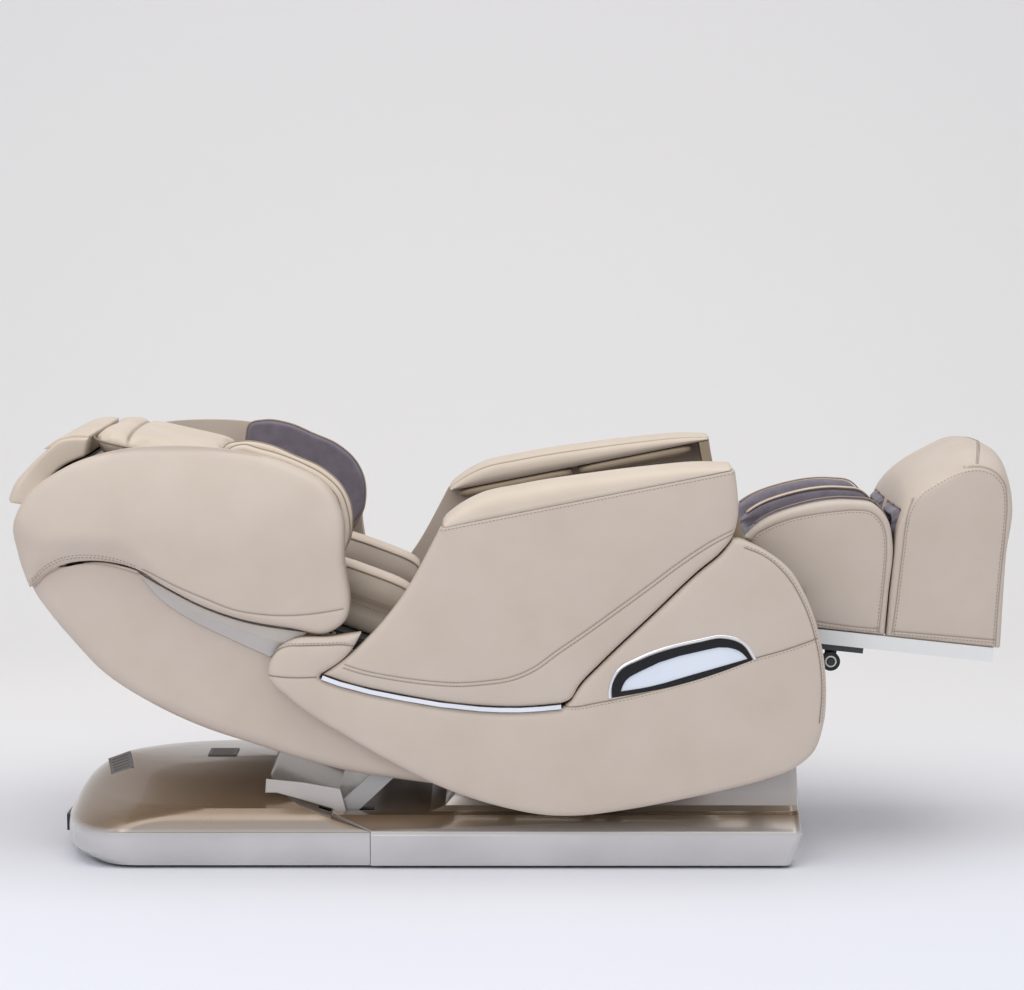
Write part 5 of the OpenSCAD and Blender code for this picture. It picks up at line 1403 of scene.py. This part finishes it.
# Each row: height, rear end, front inset, side inset.
tower_rows = [[6, SPLIT + 1, 20, 2], [17, SPLIT + 1, 15, 0], [64, SPLIT + 1, 0, 0], [70, SPLIT + 1, 2, 4],
              [94, SPLIT - 74, 3, 40], [97, SPLIT + 110, 3, 56], [107, SPLIT + 139, 3, 64],
              [128, SPLIT + 158, 3, 70], [194, SPLIT + 164, 6, 78]]
cheek = [[-461, 156], [-463, 129], [-441, 129], [-399, 117], [-335, 98], [-327, 90], [-309, 90], [-321, 137],
         [-390, 149]]


def between(rows, first, last, parts):
    """Rows first to last of a table, with parts - 1 rows added in each step along a cubic through them."""
    r = np.array(rows, float)[first:last + 1]
    slope = np.gradient(r, axis=0)
    t = (np.arange(parts) / parts)[None, :, None]
    a, b, ma, mb = r[:-1, None], r[1:, None], slope[:-1, None], slope[1:, None]
    return hermite(t, a, b, ma, mb).reshape(-1, r.shape[1])


def hump_ring(z, rear_in, front, side_in, deep, square):
    """Plan of the rear cover at one height: a superellipse bow and a square front."""
    a = np.radians(np.linspace(-90, 90, 65))
    side, rear = BASE_HALF - side_in, BASE_REAR + rear_in
    bow = np.stack([rear + deep * (1 - np.cos(a) ** (2 / square)), side * squared(np.sin(a), square)], 1)
    run = np.linspace(front, rear + deep, 14)[:-1]
    near = np.stack([run, np.full(13, -side)], 1)
    face = np.stack([np.full(18, front), np.linspace(side, -side, 20)[1:-1]], 1)
    ring = np.concatenate([near, bow, (near * [1, -1])[::-1], face])
    return np.concatenate([ring, np.full((len(ring), 1), z)], 1)


def tower_ring(z, rear, front_in, side_in):
    """Plan of the front cover at one height: a rectangle with rounded front corners."""
    y, front, r = BASE_HALF - side_in, BASE_FRONT - front_in, 18
    a = np.radians(np.linspace(0, 90, 7))
    corner = np.stack([front - r + r * np.sin(a), -(y - r) - r * np.cos(a)], 1)
    ring = np.concatenate([[[rear, y], [rear, -y]], corner, (corner * [1, -1])[::-1]])
    return np.concatenate([ring, np.full((len(ring), 1), z)], 1)


def cover(name, rings, cutters, slot, node, bevel=0.0):
    """Open-bottomed cover from rings, closed on top, cut out and painted.

    The attribute seam holds painted shade in bronze, the reflection of the chair's shaded underside: none on
    the skirt, most where the cover faces up."""
    points, faces = capped(np.array(rings))
    piece = new_mesh(name, points, faces[:-2] + faces[-1:])
    outward(piece, WELD_GAP)
    if bevel:
        soft_edge = piece.modifiers.new("soft", "BEVEL")
        soft_edge.width, soft_edge.segments, soft_edge.angle_limit = bevel * MM, 3, np.radians(15)
    walled(piece, COVER_WALL)
    cut(piece, cutters, name + "_cuts")
    mesh = piece.data
    mesh.set_sharp_from_angle(angle=np.radians(22))
    place, facing = np.empty(len(mesh.vertices) * 3), np.empty(len(mesh.vertices) * 3)
    mesh.vertices.foreach_get("co", place)
    mesh.vertices.foreach_get("normal", facing)
    # Painted shade: bronze above the skirt, strongest on faces that point up.
    store_painted_shade(piece, eased((place[2::3] / MM - SKIRT_TOP) / 10) * (0.25 + 0.75 * eased(facing[2::3] / 0.95)))
    fit(piece, COVER_PAINT, "base", slot, (node,))


def box_part(x, y, z, degrees=(0, 0, 0), at=(0, 0, 0)):
    """Box from ranges in X, Y and Z, turned about X, Y and Z in that order, then moved."""
    corner = np.array([[i, j, k] for k in z for j in y for i in x], float)
    a, b, c = np.radians(degrees)
    rx = np.array([[1, 0, 0], [0, np.cos(a), -np.sin(a)], [0, np.sin(a), np.cos(a)]])
    ry = np.array([[np.cos(b), 0, np.sin(b)], [0, 1, 0], [-np.sin(b), 0, np.cos(b)]])
    rz = np.array([[np.cos(c), -np.sin(c), 0], [np.sin(c), np.cos(c), 0], [0, 0, 1]])
    points = corner @ (rz @ ry @ rx).T + at
    return points, [[0, 2, 3, 1], [4, 5, 7, 6], [0, 1, 5, 4], [2, 6, 7, 3], [0, 4, 6, 2], [1, 3, 7, 5]]


# Silver-grey paint; its shade_tint is painted shade in bronze, the reflection of the chair's shaded
# underside.
COVER_PAINT = finish("cover_paint", (0.50, 0.485, 0.49), (0.60, 0.585, 0.59), "speckle", 0.26, 0.05,
                     shade_tint=(0.250, 0.170, 0.105), Metallic=0.55, Coat_Weight=0.5, Coat_Roughness=0.08)

WALL_CUT, STRUT_SLOT = (BASE_REAR - 6, BASE_REAR + 30), (-283, -253)
rings = [hump_ring(*row) for row in np.concatenate([between(hump_rows, 0, 3, 3), between(hump_rows, 3, 5, 4),
                                                    between(hump_rows, 5, 9, 6), hump_rows[9:]])]
grilles = [box_part((-23.3, 23.3), (-44.3, 44.3), (-16, 16), (10, -18, 9), (-765, -60, 136.5)),
           box_part((-28.3, 28.3), (-33.3, 33.3), (-15, 15), (0, 0, 0), (-569, -6, 148))]
turn = np.arange(16) * np.pi / 8
screw_holes = [capped(np.stack([joined(x, y + 6.3 * np.cos(turn), 46 + 6.3 * np.sin(turn))
                                for x in WALL_CUT])) for y in (-70, 70)]
inlet = box_part(WALL_CUT, (-168.3, -97.7), (29.7, 62.3))
strut = box_part((-363, SPLIT + 2), STRUT_SLOT, (55, 140))
cover("rear_cover_paint", rings, [*grilles, *screw_holes, inlet, *two([strut])], "cover_bronze", "rear_cover")

rings = [tower_ring(*row) for row in tower_rows]
stand_slot = box_part((416, 536), (-273, -259), (150, 250))
strut = box_part((-363, -257), STRUT_SLOT, (55, 110))
cover("front_cover_paint", rings, two([stand_slot, strut]), "cover_silver", "front_cover", 3.0)
cheek_plan = plan(evenly(np.array(cheek, float), 3.0), step=8.0, rim=2.0, edge_step=3.0)
cheek_part = slab(cheek_plan, (0, 0), lambda f, d: -288 - rounded(d, 1.5),
                  lambda f, d: -284 + rounded(d, 1.5))
simple("strut_cheeks", two([cheek_part]), TRIM, "base", "cover_silver")

# ---------------------------------------------------------------------------
# Hip web: brown cloth stretched from under the back cushion to the seat cushion,
# over the hip tube, so that the frame does not show between them.
# ---------------------------------------------------------------------------

web_from, web_to = at_back(np.array([-60.0, 0, 30])), at_seat(np.array([10.0, 0, 40]))
along, aside = np.meshgrid(np.linspace(0, 1, 15), np.linspace(-228, 228, 31), indexing="ij")
upper = web_from + along[..., None] * (web_to - web_from) + aside[..., None] * [0, 1, 0]
upper[..., 2] += (3 - 1.5 * (1 + np.cos(aside / 11))) * np.sin(np.pi * along)
web = new_mesh("hip_web", *capped(np.concatenate([upper, upper[:, ::-1] - [0, 0, 3]], 1)))
outward(web)
web.data.materials.append(CLOTH_BROWN)
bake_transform(web)

# ---------------------------------------------------------------------------
# Rails, rollers, struts, fittings and the mechanism inside: finishes by slot for
# every frame piece that stands for itself.
# ---------------------------------------------------------------------------

plain_finishes = [
    ("steel_dark", (0.030, 0.031, 0.034), (0.050, 0.052, 0.056), "speckle", 0.48, 0.2, 0.2),
    ("steel_white", (0.72, 0.72, 0.71), (0.80, 0.80, 0.79), "speckle", 0.38, 0.12, 0.0),
    ("steel_bright", (0.50, 0.51, 0.53), (0.64, 0.65, 0.67), "drawn", 0.28, 0.1, 1.0),
    ("link_grey", (0.32, 0.31, 0.30), (0.42, 0.41, 0.40), "speckle", 0.40, 0.1, 0.35),
    ("rubber_black", (0.008, 0.008, 0.009), (0.016, 0.016, 0.018), "speckle", 0.62, 0.3, 0.0),
    ("plastic_black", (0.010, 0.010, 0.011), (0.020, 0.020, 0.022), "speckle", 0.46, 0.25, 0.0),
    ("plastic_grey", (0.115, 0.105, 0.100), (0.160, 0.150, 0.142), "speckle", 0.45, 0.25, 0.0),
    ("plastic_ivory", (0.58, 0.51, 0.41), (0.66, 0.59, 0.49), "speckle", 0.40, 0.2, 0.0)]
PLAIN = {
    **{row[0]: finish(*row[:-1], Metallic=row[-1]) for row in plain_finishes},
    "trim_silver": TRIM, "trim_chrome": CHROME, "panel_black": GLOSS_BLACK, "lens_white": MILKY,
    "leather_beige": LEATHER_SIDE, "leather_light": LEATHER_WARM, "fabric_mauve": CLOTH,
    "cover_bronze": COVER_PAINT, "cover_silver": COVER_PAINT}
done_before = {"lamp_housings", "lamp_lenses", "chrome_strips"}
for part in frame["record"]["subparts"]:
    if part["node"] not in done_before:
        dress(part["node"], PLAIN[part["material_slot"]])
# Painted shade: the arm shells take the leather darkened for the shade inside the arm.
dress("arm_shells", LEATHER_SHADED)

hub = tube(at_knee(circle((91.5, -110), -221.0, 9.6, 24)), 1.6, closed=True)
simple("guide_hub_rings", two([hub]), PALE_PLASTIC, "guide_rollers", "rubber_black")
